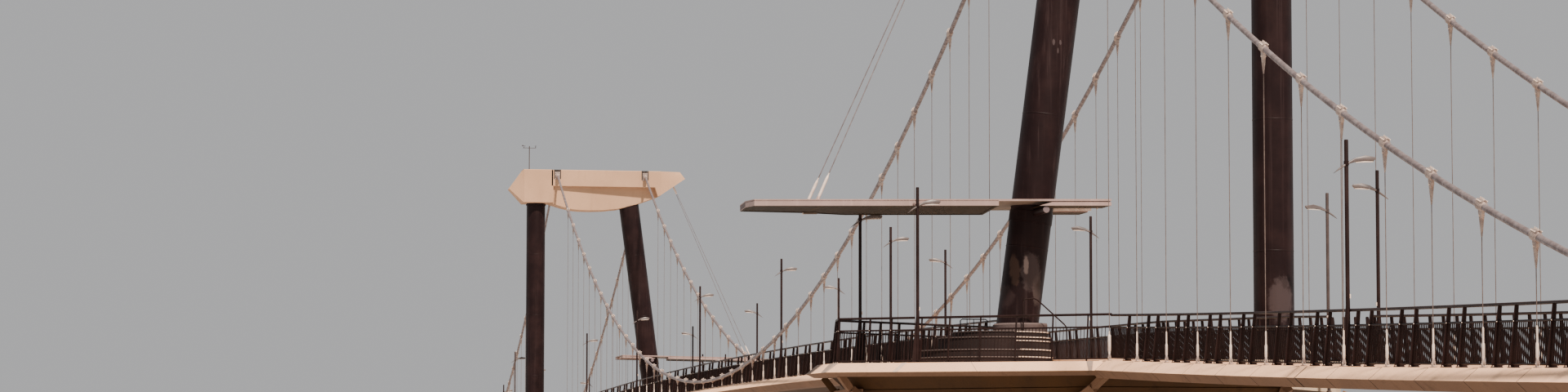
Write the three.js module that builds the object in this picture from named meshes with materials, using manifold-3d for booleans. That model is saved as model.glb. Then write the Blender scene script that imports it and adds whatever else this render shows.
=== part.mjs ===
// A suspension footbridge as a 1:10 scale model, in millimetres, +Z up.
// X runs along the bridge, with the origin under its middle, at the foot of the piers.
// The bridge looks the same after half a turn about Z, so one end is made and placed twice.
// In each end, x counts from the tower's centre line outwards to the abutment,
// and z counts from the deck level at the tower. The right side is -y, the left side is +y.

import * as THREE from "three";
import { ConvexGeometry } from "three/addons/geometries/ConvexGeometry.js";
import { mergeVertices } from "three/addons/utils/BufferGeometryUtils.js";
import Module from "manifold-3d";

const wasm = await Module();
wasm.setup();

// Spans
const MAIN_SPAN = 13800;
const SIDE_SPAN = 5250;
const BASE_DEPTH = 900;
const CLEARANCE = 0.3;

// Deck
const DECK_AT_TOWER = -5;
const DECK_CREST = 77;
const SIDE_GRADE = 0.0457;
const SIDE_CURVE = 1.8e-6;
const DECK_EDGE = 303;
const FASCIA_OUT = 33;
const FASCIA_DROP = 28;
const DECK_DEPTH = 51;
const SOFFIT_EDGE = 311;
const SLAB_DEPTH = 22;
const EDGE_BEAM = 70;
const TOWER_DECK = 680;
const DECK_ROOM_LEFT = 440;
const WALK_HALF = 262;
const WALK_RISE = 5;
const STEP_SLOPE = 4;
const HAUNCH = 12;

// Abutment
const ABUTMENT_FRONT = SIDE_SPAN - 120;
const ABUTMENT_BACK = SIDE_SPAN + 350;
const ABUTMENT_HALF = 400;
const ANCHOR_FACE = SIDE_SPAN + 3;
const ANCHOR_INNER = 245;
const ANCHOR_RISE = 85;
const ANCHOR_BACK_RISE = 15;
const ANCHOR_SLOPE = 160;

// Cables and hangers
const CABLE_Y = 298;
const CABLE_RADIUS = 7.5;
const CABLE_LOW = 110;
const CABLE_HIGH = 1729;
const SIDE_CABLE_GRADE = 0.5345;
const SIDE_CABLE_CURVE = 3.3e-5;
const HANGER_PITCH = 300;
const HANGER_SIDE = 5;
const MAIN_FIRST_HANGER = 750;
const MAIN_HANGERS = 21;
const SIDE_FIRST_HANGER = 770;
const SIDE_HANGERS = 15;
const BRACKET = { length: 40, width: 34, height: 52 };

// Towers
const LEG_RADIUS = 62.5;
const LEG_SIDES = 24;
const UPRIGHT_Y = 433;
const LEANING_Y = -397;
const LEAN = 0.1316;
const HEAD_TOP = 1720;
const HEAD_HALF = 95;
const KEEL_HALF = 68;
const LEG_HEAD_Z = 1495;
const LEG_ROOM_TOP = 1560;

// Crosshead outlines in y and z: a full-depth band and block, and the keel between them
const HEAD_BAND = [
  [-578, 1674],
  [-385, 1545],
  [-365, 1608],
  [340, 1608],
  [340, HEAD_TOP],
  [-542, HEAD_TOP],
];
const HEAD_KEEL = [
  [-470, 1640],
  [-385, 1545],
  [-229, 1489],
  [-117, 1461],
  [67, 1447],
  [196, 1453],
  [350, LEG_HEAD_Z],
  [350, 1640],
];
const HEAD_BLOCK = [
  [325, LEG_HEAD_Z],
  [525, LEG_HEAD_Z],
  [620, 1590],
  [536, HEAD_TOP],
  [325, HEAD_TOP],
];

// Pier
const PIER_TOP = -110;
const STEM_TOP = -410;
const STEM_HALF = 125;
const STEM_RIGHT = -640;
const STEM_LEFT = 520;
const FOOT_HEIGHT = 70;
const FOOT_OUT = 35;
const RIB = 38;
const LEG_BED = { half: 118, right: 345, left: 640, depth: 60, rise: 22 };

// Edges of the pier's flared head, in x and y, for x > 0
const PIER_CORNERS = [
  { top: [130, -930], bottom: [70, -600] },
  { top: [640, -310], bottom: [100, -590] },
  { top: [640, 270], bottom: [100, 300] },
  { top: [150, 620], bottom: [60, 470] },
];

// Lookout
const LOOKOUT_TOP = -29;
const LOOKOUT_POINT_Y = -980;
const LOOKOUT_POINT_HALF = 150;
const LOOKOUT_NOSE_Z = -57;
const LOOKOUT_BEVEL_Z = -69;
const LOOKOUT_BEVEL_OUT = 10;
const LOOKOUT_UNDERSIDE = -108;
const LOOKOUT_UNDERSIDE_IN = 38;

// Leg collar and tiered seat: radius, centre y and top above the lookout floor
const COLLAR = { radius: 88, y: -372, height: 127 };
const TIERS = [
  { radius: 222, y: -490, height: 19 },
  { radius: 208, y: -484, height: 42 },
  { radius: 176, y: -456, height: 81 },
  { radius: 150, y: -436, height: 100 },
];

// Canopy: outlines in x and y of its outer end, and of the beams beside the leg
const CANOPY_Z = 452;
const CANOPY_FALL = 0.0148;
const CANOPY_THICK = 20;
const CANOPY_FRONT = 200;
const CANOPY_BACK = -197;
const CANOPY_INNER_Y = -138;
const CANOPY_OUTER = [
  [CANOPY_BACK, -885],
  [-108, -1029],
  [-40, -1240],
  [125, -1250],
  [CANOPY_FRONT, -1235],
];
const OUTER_WING_END = [
  [CANOPY_FRONT, -488],
  [CANOPY_BACK, -448],
];
const INNER_BEAM = { inside: 85, start: -362 };
const CANOPY_LEG_GAP = 6;
const ROOF_THICK = 6;
const ARM_RADIUS = 11;
const ARM_OUTER_Y = -420;
const ARM_BAND = { out: 3, low: -30, high: 6 };
const CROSS_HALF = 196;
const SOCKET_RADIUS = 5;
const HEAD_SOCKET_RADIUS = 4;
const SOCKET_LENGTH = 90;
const STAY_RADIUS = 2.5;
const STAY_FOOT = { x: 95, y: -1027 };
const STAY_HEAD = { x: 18, y: -505, z: 1624 };

// Railings and lamps
const RAIL_HEIGHT = 134;
const RAIL_HEIGHTS = [134, 98, 15];
const RAIL_SIZE = 6;
const RAIL_FOOT_Y = 280;
const RAIL_LEAN = 12;
const POST_BAY = 600;
const LOOKOUT_POST_BAY = 430;
const POST_THICK = 3;
const POST_FOOT = 17;
const POST_HEAD = 9;
const POST_INSET = 15;
const LOOKOUT_RAIL = [
  [-656, -323],
  [-120, -938],
  [30, -957],
  [656, -323],
];
const LAMP_HEIGHT = 527;
const LAMP_TIP = 10;
const LAMP_PITCH = 2415;
const LAMP_FIRST = 4400;
const LAMP_RADIUS = 5;
const LAMP_PLATE = { foot: 24, height: 165, outer: 3, inner: 10 };
const BLADE_THICK = 9;
const LEFT_LAMPS = [1450, 3860];
const RIGHT_LAMPS = [2830];
const LOOKOUT_LAMP_FRONT_Y = -751;
const LOOKOUT_LAMP_BACK_Y = -842;
const LEG_LAMP = { x: 180, y: 555, top: 500 };

// Wind sensor
const SENSOR = { y: 480, base: 12, baseThick: 3, mast: 165, mastRadius: 3.5, arm: 45, armAt: 150 };
const SENSOR_CUPS = { reach: 42, low: 152, high: 172, foot: 8, top: 5 };
const SENSOR_VANE = { inner: 28, outer: 52, low: 152, high: 170, thick: 3 };

const CONCRETE = { color: 0xcdb49b, roughness: 0.9, metalness: 0 };
const HEAD_CONCRETE = { color: 0xd6c8b4, roughness: 0.9, metalness: 0 };
const DARK_STEEL = { color: 0x37292a, roughness: 0.5, metalness: 0.3 };
const RAIL_STEEL = { color: 0x3c2d2a, roughness: 0.6, metalness: 0.3 };
const CABLE_STEEL = { color: 0xafa5a5, roughness: 0.5, metalness: 0.6 };
const CANOPY_PAINT = { color: 0xbeafa5, roughness: 0.6, metalness: 0.1 };

const HALF_SPAN = MAIN_SPAN / 2;

// Heights of the deck's top and of the cables, x from the tower, negative over the main span
function deckHeight(x) {
  if (x > 0) {
    return DECK_AT_TOWER - SIDE_GRADE * x + SIDE_CURVE * x * x;
  }
  const u = (HALF_SPAN + x) / HALF_SPAN;
  return DECK_AT_TOWER + DECK_CREST * (1 - u * u);
}

function mainDeckHeight(middleX) {
  return deckHeight(Math.abs(middleX) - HALF_SPAN);
}

function mainCableHeight(x) {
  const u = (HALF_SPAN + x) / HALF_SPAN;
  return CABLE_LOW + (CABLE_HIGH - CABLE_LOW) * u * u;
}

function sideCableHeight(x) {
  return CABLE_HIGH - SIDE_CABLE_GRADE * x + SIDE_CABLE_CURVE * x * x;
}

// Joining and cutting
function solid(geometry) {
  const bare = geometry.clone();
  bare.deleteAttribute("normal");
  bare.deleteAttribute("uv");
  const merged = mergeVertices(bare, 1e-3);
  const mesh = new wasm.Mesh({
    numProp: 3,
    vertProperties: new Float32Array(merged.attributes.position.array),
    triVerts: new Uint32Array(merged.index.array),
  });
  return new wasm.Manifold(mesh);
}

function geometryOf(body) {
  const mesh = body.getMesh();
  const points = new Float32Array(mesh.numVert * 3);
  for (let i = 0; i < mesh.numVert; i++) {
    const start = i * mesh.numProp;
    points.set(mesh.vertProperties.subarray(start, start + 3), i * 3);
  }
  const geometry = new THREE.BufferGeometry();
  geometry.setAttribute("position", new THREE.BufferAttribute(points, 3));
  geometry.setIndex(new THREE.BufferAttribute(new Uint32Array(mesh.triVerts), 1));
  geometry.computeVertexNormals();
  return geometry;
}

function joined(geometries) {
  return geometries.map(solid).reduce((sum, next) => sum.add(next));
}

function join(...geometries) {
  return geometryOf(joined(geometries));
}

// Basic shapes
function outline(points) {
  return new THREE.Shape(points.map(([a, b]) => new THREE.Vector2(a, b)));
}

// A section in y and z, carried along x from x0 to x1, and bent to a height that depends on x
function alongX(shape, x0, x1, steps = 1, heightAt = () => 0) {
  const geometry = new THREE.ExtrudeGeometry(shape, {
    depth: x1 - x0,
    steps,
    bevelEnabled: false,
    curveSegments: 8,
  });
  const turn = new THREE.Matrix4().makeBasis(
    new THREE.Vector3(0, 1, 0),
    new THREE.Vector3(0, 0, 1),
    new THREE.Vector3(1, 0, 0),
  );
  geometry.applyMatrix4(turn);
  geometry.translate(x0, 0, 0);
  const position = geometry.getAttribute("position");
  for (let i = 0; i < position.count; i++) {
    position.setZ(i, position.getZ(i) + heightAt(position.getX(i)));
  }
  return geometry;
}

// A section in x and z, carried across the bridge from y0 to y1
function acrossY(shape, y0, y1) {
  const geometry = new THREE.ExtrudeGeometry(shape, { depth: y1 - y0, bevelEnabled: false });
  const turn = new THREE.Matrix4().makeBasis(
    new THREE.Vector3(1, 0, 0),
    new THREE.Vector3(0, 0, 1),
    new THREE.Vector3(0, -1, 0),
  );
  geometry.applyMatrix4(turn);
  geometry.translate(0, y1, 0);
  return geometry;
}

function box(x0, x1, y0, y1, z0, z1) {
  const geometry = new THREE.BoxGeometry(x1 - x0, y1 - y0, z1 - z0);
  return geometry.translate((x0 + x1) / 2, (y0 + y1) / 2, (z0 + z1) / 2);
}

function hull(points) {
  return new ConvexGeometry(points.map(([x, y, z]) => new THREE.Vector3(x, y, z)));
}

// A straight bar or tapered pole between two points
function bar(from, to, radius, sides, endRadius = radius) {
  const a = new THREE.Vector3(...from);
  const b = new THREE.Vector3(...to);
  const along = b.clone().sub(a);
  const geometry = new THREE.CylinderGeometry(endRadius, radius, along.length(), sides);
  const up = new THREE.Vector3(0, 1, 0);
  const turn = new THREE.Quaternion().setFromUnitVectors(up, along.clone().normalize());
  geometry.applyQuaternion(turn);
  const middle = a.add(b).multiplyScalar(0.5);
  return geometry.translate(middle.x, middle.y, middle.z);
}

function piece(name, geometry, look) {
  const mesh = new THREE.Mesh(geometry, new THREE.MeshStandardMaterial(look));
  mesh.name = name;
  return mesh;
}

// Deck
function deckSection(rightEdge = true) {
  const inner = SOFFIT_EDGE - EDGE_BEAM;
  const right = rightEdge
    ? [
        [-DECK_EDGE, 0],
        [-DECK_EDGE - FASCIA_OUT, -FASCIA_DROP],
        [-SOFFIT_EDGE, -DECK_DEPTH],
      ]
    : [
        [-DECK_EDGE, 0],
        [-DECK_EDGE, -DECK_DEPTH],
      ];
  return outline([
    ...right,
    [-inner, -DECK_DEPTH],
    [-inner + HAUNCH, -SLAB_DEPTH],
    [inner - HAUNCH, -SLAB_DEPTH],
    [inner, -DECK_DEPTH],
    [SOFFIT_EDGE, -DECK_DEPTH],
    [DECK_EDGE + FASCIA_OUT, -FASCIA_DROP],
    [DECK_EDGE, 0],
    [WALK_HALF + STEP_SLOPE, 0],
    [WALK_HALF, WALK_RISE],
    [-WALK_HALF, WALK_RISE],
    [-WALK_HALF - STEP_SLOPE, 0],
  ]);
}

function mainDeck() {
  const end = HALF_SPAN - TOWER_DECK - CLEARANCE;
  return alongX(deckSection(), -end, end, 16, mainDeckHeight);
}

function sideDeck() {
  return alongX(deckSection(), TOWER_DECK + CLEARANCE, SIDE_SPAN, 10, deckHeight);
}

function towerDeckHeight(x) {
  const start = deckHeight(-TOWER_DECK);
  const end = deckHeight(TOWER_DECK);
  return start + ((end - start) * (x + TOWER_DECK)) / (2 * TOWER_DECK);
}

function towerDeck() {
  return alongX(deckSection(false), -TOWER_DECK, TOWER_DECK, 1, towerDeckHeight);
}

// The room that the tower's deck takes, with its clearance, up to a height above its top
function towerDeckRoom(rise) {
  const section = outline([
    [-DECK_EDGE - CLEARANCE, rise],
    [-DECK_EDGE - CLEARANCE, -DECK_DEPTH - CLEARANCE],
    [DECK_ROOM_LEFT, -DECK_DEPTH - CLEARANCE],
    [DECK_ROOM_LEFT, rise],
  ]);
  return solid(alongX(section, -TOWER_DECK - 5, TOWER_DECK + 5, 1, towerDeckHeight));
}

// Lookout platform: a six-sided plan, grown outwards along its two slanting sides and its point
function lookoutRing(out, z) {
  const side = new THREE.Vector2(
    TOWER_DECK - LOOKOUT_POINT_HALF,
    -DECK_EDGE - LOOKOUT_POINT_Y,
  ).normalize();
  const normal = new THREE.Vector2(side.y, -side.x);
  const reach = normal.x * LOOKOUT_POINT_HALF + normal.y * LOOKOUT_POINT_Y + out;
  const pointY = LOOKOUT_POINT_Y - out;
  const pointX = (reach - normal.y * pointY) / normal.x;
  const cornerY = (reach - normal.x * TOWER_DECK) / normal.y;
  return [
    [-pointX, pointY, z],
    [pointX, pointY, z],
    [-TOWER_DECK, cornerY, z],
    [TOWER_DECK, cornerY, z],
    [-TOWER_DECK, DECK_EDGE, z],
    [TOWER_DECK, DECK_EDGE, z],
  ];
}

function lookout() {
  const slab = hull([
    ...lookoutRing(0, LOOKOUT_TOP),
    ...lookoutRing(FASCIA_OUT, LOOKOUT_NOSE_Z),
    ...lookoutRing(LOOKOUT_BEVEL_OUT, LOOKOUT_BEVEL_Z),
  ]);
  const body = hull([
    ...lookoutRing(4, LOOKOUT_BEVEL_Z + 2),
    ...lookoutRing(-LOOKOUT_UNDERSIDE_IN, LOOKOUT_UNDERSIDE),
  ]);
  return geometryOf(joined([slab, body]).subtract(towerDeckRoom(60)));
}

// Pier: a round-ended stem on a wider foot, and a flared head with ribs on its edges
function stadium(half, right, left) {
  const shape = new THREE.Shape();
  shape.absarc(0, left - half, half, 0, Math.PI);
  shape.absarc(0, right + half, half, Math.PI, 2 * Math.PI);
  return shape;
}

function upright(shape, z0, z1) {
  const geometry = new THREE.ExtrudeGeometry(shape, {
    depth: z1 - z0,
    bevelEnabled: false,
    curveSegments: 6,
  });
  return geometry.translate(0, 0, z0);
}

function pier() {
  const stem = upright(stadium(STEM_HALF, STEM_RIGHT, STEM_LEFT), -BASE_DEPTH, STEM_TOP + 5);
  const foot = upright(
    stadium(STEM_HALF + FOOT_OUT, STEM_RIGHT - FOOT_OUT, STEM_LEFT + FOOT_OUT),
    -BASE_DEPTH,
    -BASE_DEPTH + FOOT_HEIGHT,
  );
  const headPoints = [];
  const ribs = [];
  for (const { top, bottom } of PIER_CORNERS) {
    for (const side of [-1, 1]) {
      const high = [side * top[0], top[1], PIER_TOP];
      const low = [side * bottom[0], bottom[1], STEM_TOP];
      headPoints.push(high, low);
      ribs.push(bar(high, low, RIB / 1.4, 4));
    }
  }
  const head = hull(headPoints);
  const bed = stadium(LEG_BED.half, LEG_BED.right, LEG_BED.left);
  const legBed = upright(bed, PIER_TOP - LEG_BED.depth, PIER_TOP + LEG_BED.rise);
  const above = box(-900, 900, -1200, 900, PIER_TOP, PIER_TOP + 300);
  const body = joined([head, ...ribs]).subtract(solid(above));
  return geometryOf(body.add(joined([stem, foot, legBed])));
}

// Abutment: a block with a seat for the deck, a back wall and two cable anchor blocks
function abutment() {
  const level = deckHeight(SIDE_SPAN);
  const seat = level - DECK_DEPTH - CLEARANCE;
  const wall = outline([
    [ABUTMENT_FRONT, -BASE_DEPTH],
    [ABUTMENT_BACK, -BASE_DEPTH],
    [ABUTMENT_BACK, level],
    [ANCHOR_FACE, level],
    [ANCHOR_FACE, seat],
    [ABUTMENT_FRONT, seat],
  ]);
  const anchor = outline([
    [ANCHOR_FACE, seat],
    [ABUTMENT_BACK, seat],
    [ABUTMENT_BACK, level + ANCHOR_BACK_RISE],
    [ABUTMENT_BACK - ANCHOR_SLOPE, level + ANCHOR_RISE],
    [ANCHOR_FACE, level + ANCHOR_RISE],
  ]);
  return join(
    acrossY(wall, -ABUTMENT_HALF, ABUTMENT_HALF),
    acrossY(anchor, -ABUTMENT_HALF, -ANCHOR_INNER),
    acrossY(anchor, ANCHOR_INNER, ABUTMENT_HALF),
  );
}

function crosshead() {
  return join(
    alongX(outline(HEAD_BAND), -HEAD_HALF, HEAD_HALF),
    alongX(outline(HEAD_KEEL), -KEEL_HALF, KEEL_HALF),
    alongX(outline(HEAD_BLOCK), -HEAD_HALF, HEAD_HALF),
  );
}

function leaningAt(z) {
  return LEANING_Y + LEAN * z;
}

// A round length on the leaning leg's line, between two heights
function legPart(low, high, radius) {
  return bar([0, leaningAt(low), low], [0, leaningAt(high), high], radius, LEG_SIDES);
}

function uprightLeg() {
  const foot = PIER_TOP + LEG_BED.rise + CLEARANCE;
  return bar([0, UPRIGHT_Y, foot], [0, UPRIGHT_Y, LEG_HEAD_Z - CLEARANCE], LEG_RADIUS, LEG_SIDES);
}

// A shape that comes up under the crosshead, ended at its underside
function endedUnderHead(geometry, head) {
  return solid(geometry).subtract(solid(head).translate([0, 0, -CLEARANCE]));
}

function leaningLeg(head) {
  const low = LOOKOUT_TOP;
  const shaft = legPart(low, LEG_ROOM_TOP, LEG_RADIUS);
  const below = box(-200, 200, -700, 0, low - 100, LOOKOUT_TOP + COLLAR.height + CLEARANCE);
  return geometryOf(endedUnderHead(shaft, head).subtract(solid(below)));
}

// Collar of the leaning leg, and the tiers of the seat around it
function drum(radius, y, z0, z1, sides) {
  return bar([0, y, z0], [0, y, z1], radius, sides);
}

function collar() {
  const foot = LOOKOUT_TOP + CLEARANCE;
  const whole = drum(COLLAR.radius, COLLAR.y, foot, LOOKOUT_TOP + COLLAR.height, 24);
  return geometryOf(solid(whole).subtract(towerDeckRoom(CLEARANCE)));
}

function seat() {
  const tiers = TIERS.map(({ radius, y, height }) =>
    drum(radius, y, LOOKOUT_TOP + CLEARANCE, LOOKOUT_TOP + height, 24),
  );
  const hole = drum(COLLAR.radius + CLEARANCE, COLLAR.y, LOOKOUT_TOP - 50, LOOKOUT_TOP + 300, 24);
  return geometryOf(joined(tiers).subtract(solid(hole)).subtract(towerDeckRoom(CLEARANCE)));
}

// Canopy: a thin roof with a hole for the leg, on a deep outer wing and two beams. Its
// underside falls to the outer end.
function canopyUnderside(y) {
  return CANOPY_Z + CANOPY_FALL * y;
}

function canopyPlate(points, low, high) {
  const geometry = upright(outline(points), low, high);
  const position = geometry.getAttribute("position");
  for (let i = 0; i < position.count; i++) {
    position.setZ(i, position.getZ(i) + canopyUnderside(position.getY(i)));
  }
  return geometry;
}

function canopyBeam(outside, inside) {
  const corners = [
    [Math.min(outside, inside), INNER_BEAM.start],
    [Math.max(outside, inside), INNER_BEAM.start],
    [Math.max(outside, inside), CANOPY_INNER_Y],
    [Math.min(outside, inside), CANOPY_INNER_Y],
  ];
  return canopyPlate(corners, 0, CANOPY_THICK - ROOF_THICK / 2);
}

function canopy() {
  const innerEnd = [
    [CANOPY_FRONT, CANOPY_INNER_Y],
    [CANOPY_BACK, CANOPY_INNER_Y],
  ];
  const whole = joined([
    canopyPlate([...CANOPY_OUTER, ...innerEnd], CANOPY_THICK - ROOF_THICK, CANOPY_THICK),
    canopyPlate([...CANOPY_OUTER, ...OUTER_WING_END], 0, CANOPY_THICK - ROOF_THICK / 2),
    canopyBeam(CANOPY_FRONT, INNER_BEAM.inside),
    canopyBeam(CANOPY_BACK, -INNER_BEAM.inside),
  ]);
  const hole = legPart(CANOPY_Z - 100, CANOPY_Z + 100, LEG_RADIUS + CANOPY_LEG_GAP);
  return geometryOf(whole.subtract(solid(hole)));
}

// The canopy's pipe arm to its outer wing, with a band round the leg and a cross pipe
function canopyArm() {
  const axisAt = (y) => canopyUnderside(y) - ARM_RADIUS - CLEARANCE;
  const legY = leaningAt(axisAt(LEANING_Y));
  const z = axisAt(legY);
  const pipe = bar([0, ARM_OUTER_Y, axisAt(ARM_OUTER_Y)], [0, legY, z], ARM_RADIUS, 10);
  const band = legPart(z + ARM_BAND.low, z + ARM_BAND.high, LEG_RADIUS + ARM_BAND.out);
  const cross = bar([-CROSS_HALF, legY, z], [CROSS_HALF, legY, z], ARM_RADIUS, 12);
  const leg = legPart(z - 100, z + 100, LEG_RADIUS + CLEARANCE);
  return geometryOf(joined([pipe, band, cross]).subtract(solid(leg)));
}

// A stay: a thin rod with a socket at each end, turned about the line between two points
function canopyStay(front) {
  const lift = CLEARANCE + SOCKET_RADIUS / 2;
  const footZ = canopyUnderside(STAY_FOOT.y) + CANOPY_THICK + lift;
  const foot = new THREE.Vector3(front * STAY_FOOT.x, STAY_FOOT.y, footZ);
  const head = new THREE.Vector3(front * STAY_HEAD.x, STAY_HEAD.y, STAY_HEAD.z);
  const along = head.clone().sub(foot);
  const length = along.length();
  const profile = [
    [0, 0],
    [SOCKET_RADIUS, 0],
    [SOCKET_RADIUS, SOCKET_LENGTH],
    [STAY_RADIUS, SOCKET_LENGTH + 12],
    [STAY_RADIUS, length - SOCKET_LENGTH / 2],
    [HEAD_SOCKET_RADIUS, length - SOCKET_LENGTH / 2 + 10],
    [HEAD_SOCKET_RADIUS, length],
    [0, length],
  ];
  const points = profile.map(([radius, height]) => new THREE.Vector2(radius, height));
  const geometry = new THREE.LatheGeometry(points, 8);
  const up = new THREE.Vector3(0, 1, 0);
  geometry.applyQuaternion(new THREE.Quaternion().setFromUnitVectors(up, along.normalize()));
  geometry.translate(foot.x, foot.y, foot.z);
  return geometryOf(solid(geometry));
}

// Cables with their hangers and end brackets
class CableLine extends THREE.Curve {
  constructor(x0, x1, y, heightAt) {
    super();
    this.x0 = x0;
    this.x1 = x1;
    this.y = y;
    this.heightAt = heightAt;
  }

  getPoint(t, target = new THREE.Vector3()) {
    const x = this.x0 + (this.x1 - this.x0) * t;
    return target.set(x, this.y, this.heightAt(x));
  }
}

function cable(x0, x1, y, heightAt, steps) {
  const section = new THREE.Shape();
  section.absarc(0, 0, CABLE_RADIUS, 0, 2 * Math.PI);
  return new THREE.ExtrudeGeometry(section, {
    steps,
    curveSegments: 3,
    extrudePath: new CableLine(x0, x1, y, heightAt),
  });
}

function hanger(x, y, foot, top) {
  return bar([x, y, foot], [x, y, top], HANGER_SIDE / 1.4, 4);
}

function bracket(x0, x1, y, z) {
  const half = BRACKET.width / 2;
  return box(x0, x1, y - half, y + half, z - BRACKET.height / 2, z + BRACKET.height / 2);
}

function mainCable(y) {
  const face = -HEAD_HALF - CLEARANCE;
  const socket = face - BRACKET.length;
  const parts = [
    cable(-HALF_SPAN + CLEARANCE / 2, socket + 5, y, mainCableHeight, 22),
    bracket(socket, face, y, mainCableHeight(socket)),
  ];
  for (let i = 0; i < MAIN_HANGERS; i++) {
    const x = -MAIN_FIRST_HANGER - i * HANGER_PITCH;
    parts.push(hanger(x, y, deckHeight(x) + CLEARANCE, mainCableHeight(x)));
  }
  return join(...parts);
}

function sideCable(y) {
  const face = HEAD_HALF + CLEARANCE;
  const socket = face + BRACKET.length;
  const parts = [
    cable(socket - 5, ANCHOR_FACE - 3, y, sideCableHeight, 18),
    bracket(face, socket, y, sideCableHeight(socket)),
  ];
  for (let i = 0; i < SIDE_HANGERS; i++) {
    const x = SIDE_FIRST_HANGER + i * HANGER_PITCH;
    parts.push(hanger(x, y, deckHeight(x) + CLEARANCE, sideCableHeight(x)));
  }
  return join(...parts);
}

// Railings and lamp posts
// How far a railing leans inwards at a height above its foot
function leanAt(height) {
  return (RAIL_LEAN * height) / RAIL_HEIGHT;
}

// The eight corners of a tapered plate, square to a railing. A level is its height above the
// foot, and how far in from the foot its outer and inner edges are.
function plate(foot, inward, thick, levels) {
  const along = new THREE.Vector3(-inward.y, inward.x, 0);
  const corners = [];
  for (const { height, outer, inner } of levels) {
    for (const reach of [outer, inner]) {
      for (const side of [-thick / 2, thick / 2]) {
        const corner = foot.clone().addScaledVector(inward, reach).addScaledVector(along, side);
        corner.z += height;
        corners.push(corner);
      }
    }
  }
  return new ConvexGeometry(corners);
}

function post(foot, inward) {
  const high = RAIL_HEIGHT - RAIL_SIZE / 2;
  return plate(foot, inward, POST_THICK, [
    { height: CLEARANCE, outer: -POST_FOOT / 2, inner: POST_FOOT / 2 },
    { height: high, outer: leanAt(high) - POST_HEAD / 2, inner: leanAt(high) + POST_HEAD / 2 },
  ]);
}

// A lamp: a round pole, a curved blade for an arm and, on a railing's line, a tapered base plate
function lamp(foot, inward, height, withPlate = true) {
  const pole = foot.clone().addScaledVector(inward, leanAt(RAIL_HEIGHT) / 2);
  const top = pole.z + height;
  const blade = new THREE.Shape();
  blade.moveTo(-31, -69);
  blade.quadraticCurveTo(8, -34, 52, -26);
  blade.lineTo(71, -31);
  blade.lineTo(66, -40);
  blade.quadraticCurveTo(12, -43, -31, -69);
  const arm = new THREE.ExtrudeGeometry(blade, {
    depth: BLADE_THICK,
    bevelEnabled: false,
    curveSegments: 3,
  });
  arm.translate(0, 0, -BLADE_THICK / 2);
  const up = new THREE.Vector3(0, 0, 1);
  const across = new THREE.Vector3().crossVectors(inward, up);
  arm.applyMatrix4(new THREE.Matrix4().makeBasis(inward, up, across));
  arm.translate(pole.x, pole.y, top - LAMP_TIP);
  const parts = [
    bar([pole.x, pole.y, pole.z + CLEARANCE], [pole.x, pole.y, top], LAMP_RADIUS, 6),
    arm,
  ];
  if (withPlate) {
    parts.push(
      plate(foot, inward, LAMP_RADIUS, [
        { height: CLEARANCE, outer: -LAMP_PLATE.foot / 2, inner: LAMP_PLATE.foot / 2 },
        { height: LAMP_PLATE.height, outer: LAMP_PLATE.outer, inner: LAMP_PLATE.inner },
      ]),
    );
  }
  return parts;
}

// A square rail that follows the deck, at a height above it
function deckRail(side, x0, x1, height, steps, heightAt) {
  const y = side * (RAIL_FOOT_Y - leanAt(height));
  const section = outline([
    [y - RAIL_SIZE / 2, height - RAIL_SIZE],
    [y + RAIL_SIZE / 2, height - RAIL_SIZE],
    [y + RAIL_SIZE / 2, height],
    [y - RAIL_SIZE / 2, height],
  ]);
  return alongX(section, x0, x1, steps, heightAt);
}

function railing(side, x0, x1, heightAt, lamps) {
  const bays = Math.round((x1 - x0) / POST_BAY);
  const pitch = (x1 - x0 - POST_THICK) / bays;
  const inward = new THREE.Vector3(0, -side, 0);
  const footAt = (x) => new THREE.Vector3(x, side * RAIL_FOOT_Y, heightAt(x));
  const steps = bays;
  const parts = RAIL_HEIGHTS.map((height) => deckRail(side, x0, x1, height, steps, heightAt));
  for (let i = 0; i <= bays; i++) {
    parts.push(post(footAt(x0 + POST_THICK / 2 + i * pitch), inward));
  }
  for (const x of lamps) {
    parts.push(...lamp(footAt(x), inward, LAMP_HEIGHT));
  }
  return join(...parts);
}

function mainRailing(side) {
  const end = HALF_SPAN - TOWER_DECK - 6;
  const lamps = [];
  for (let i = 0; i < 5; i++) {
    lamps.push(side * (i * LAMP_PITCH - LAMP_FIRST));
  }
  return railing(side, -end, end, mainDeckHeight, lamps);
}

// The lookout's railing line at a height, with its three sides moved in by their lean
function lookoutRailLine(height) {
  const lean = leanAt(height);
  const corners = LOOKOUT_RAIL.map(([x, y]) => new THREE.Vector2(x, y));
  const sides = [0, 1, 2].map((i) => {
    const along = corners[i + 1].clone().sub(corners[i]).normalize();
    const inward = new THREE.Vector2(-along.y, along.x);
    return { along, from: corners[i].clone().addScaledVector(inward, lean) };
  });
  const beside = { along: new THREE.Vector2(1, 0), from: corners[0] };
  const lines = [beside, ...sides, beside];
  return sides.concat(beside).map((side, i) => {
    const before = lines[i];
    const gap = before.from.clone().sub(side.from);
    const reach = gap.cross(before.along) / side.along.cross(before.along);
    const point = side.from.clone().addScaledVector(side.along, reach);
    return new THREE.Vector3(point.x, point.y, LOOKOUT_TOP + height);
  });
}

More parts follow.
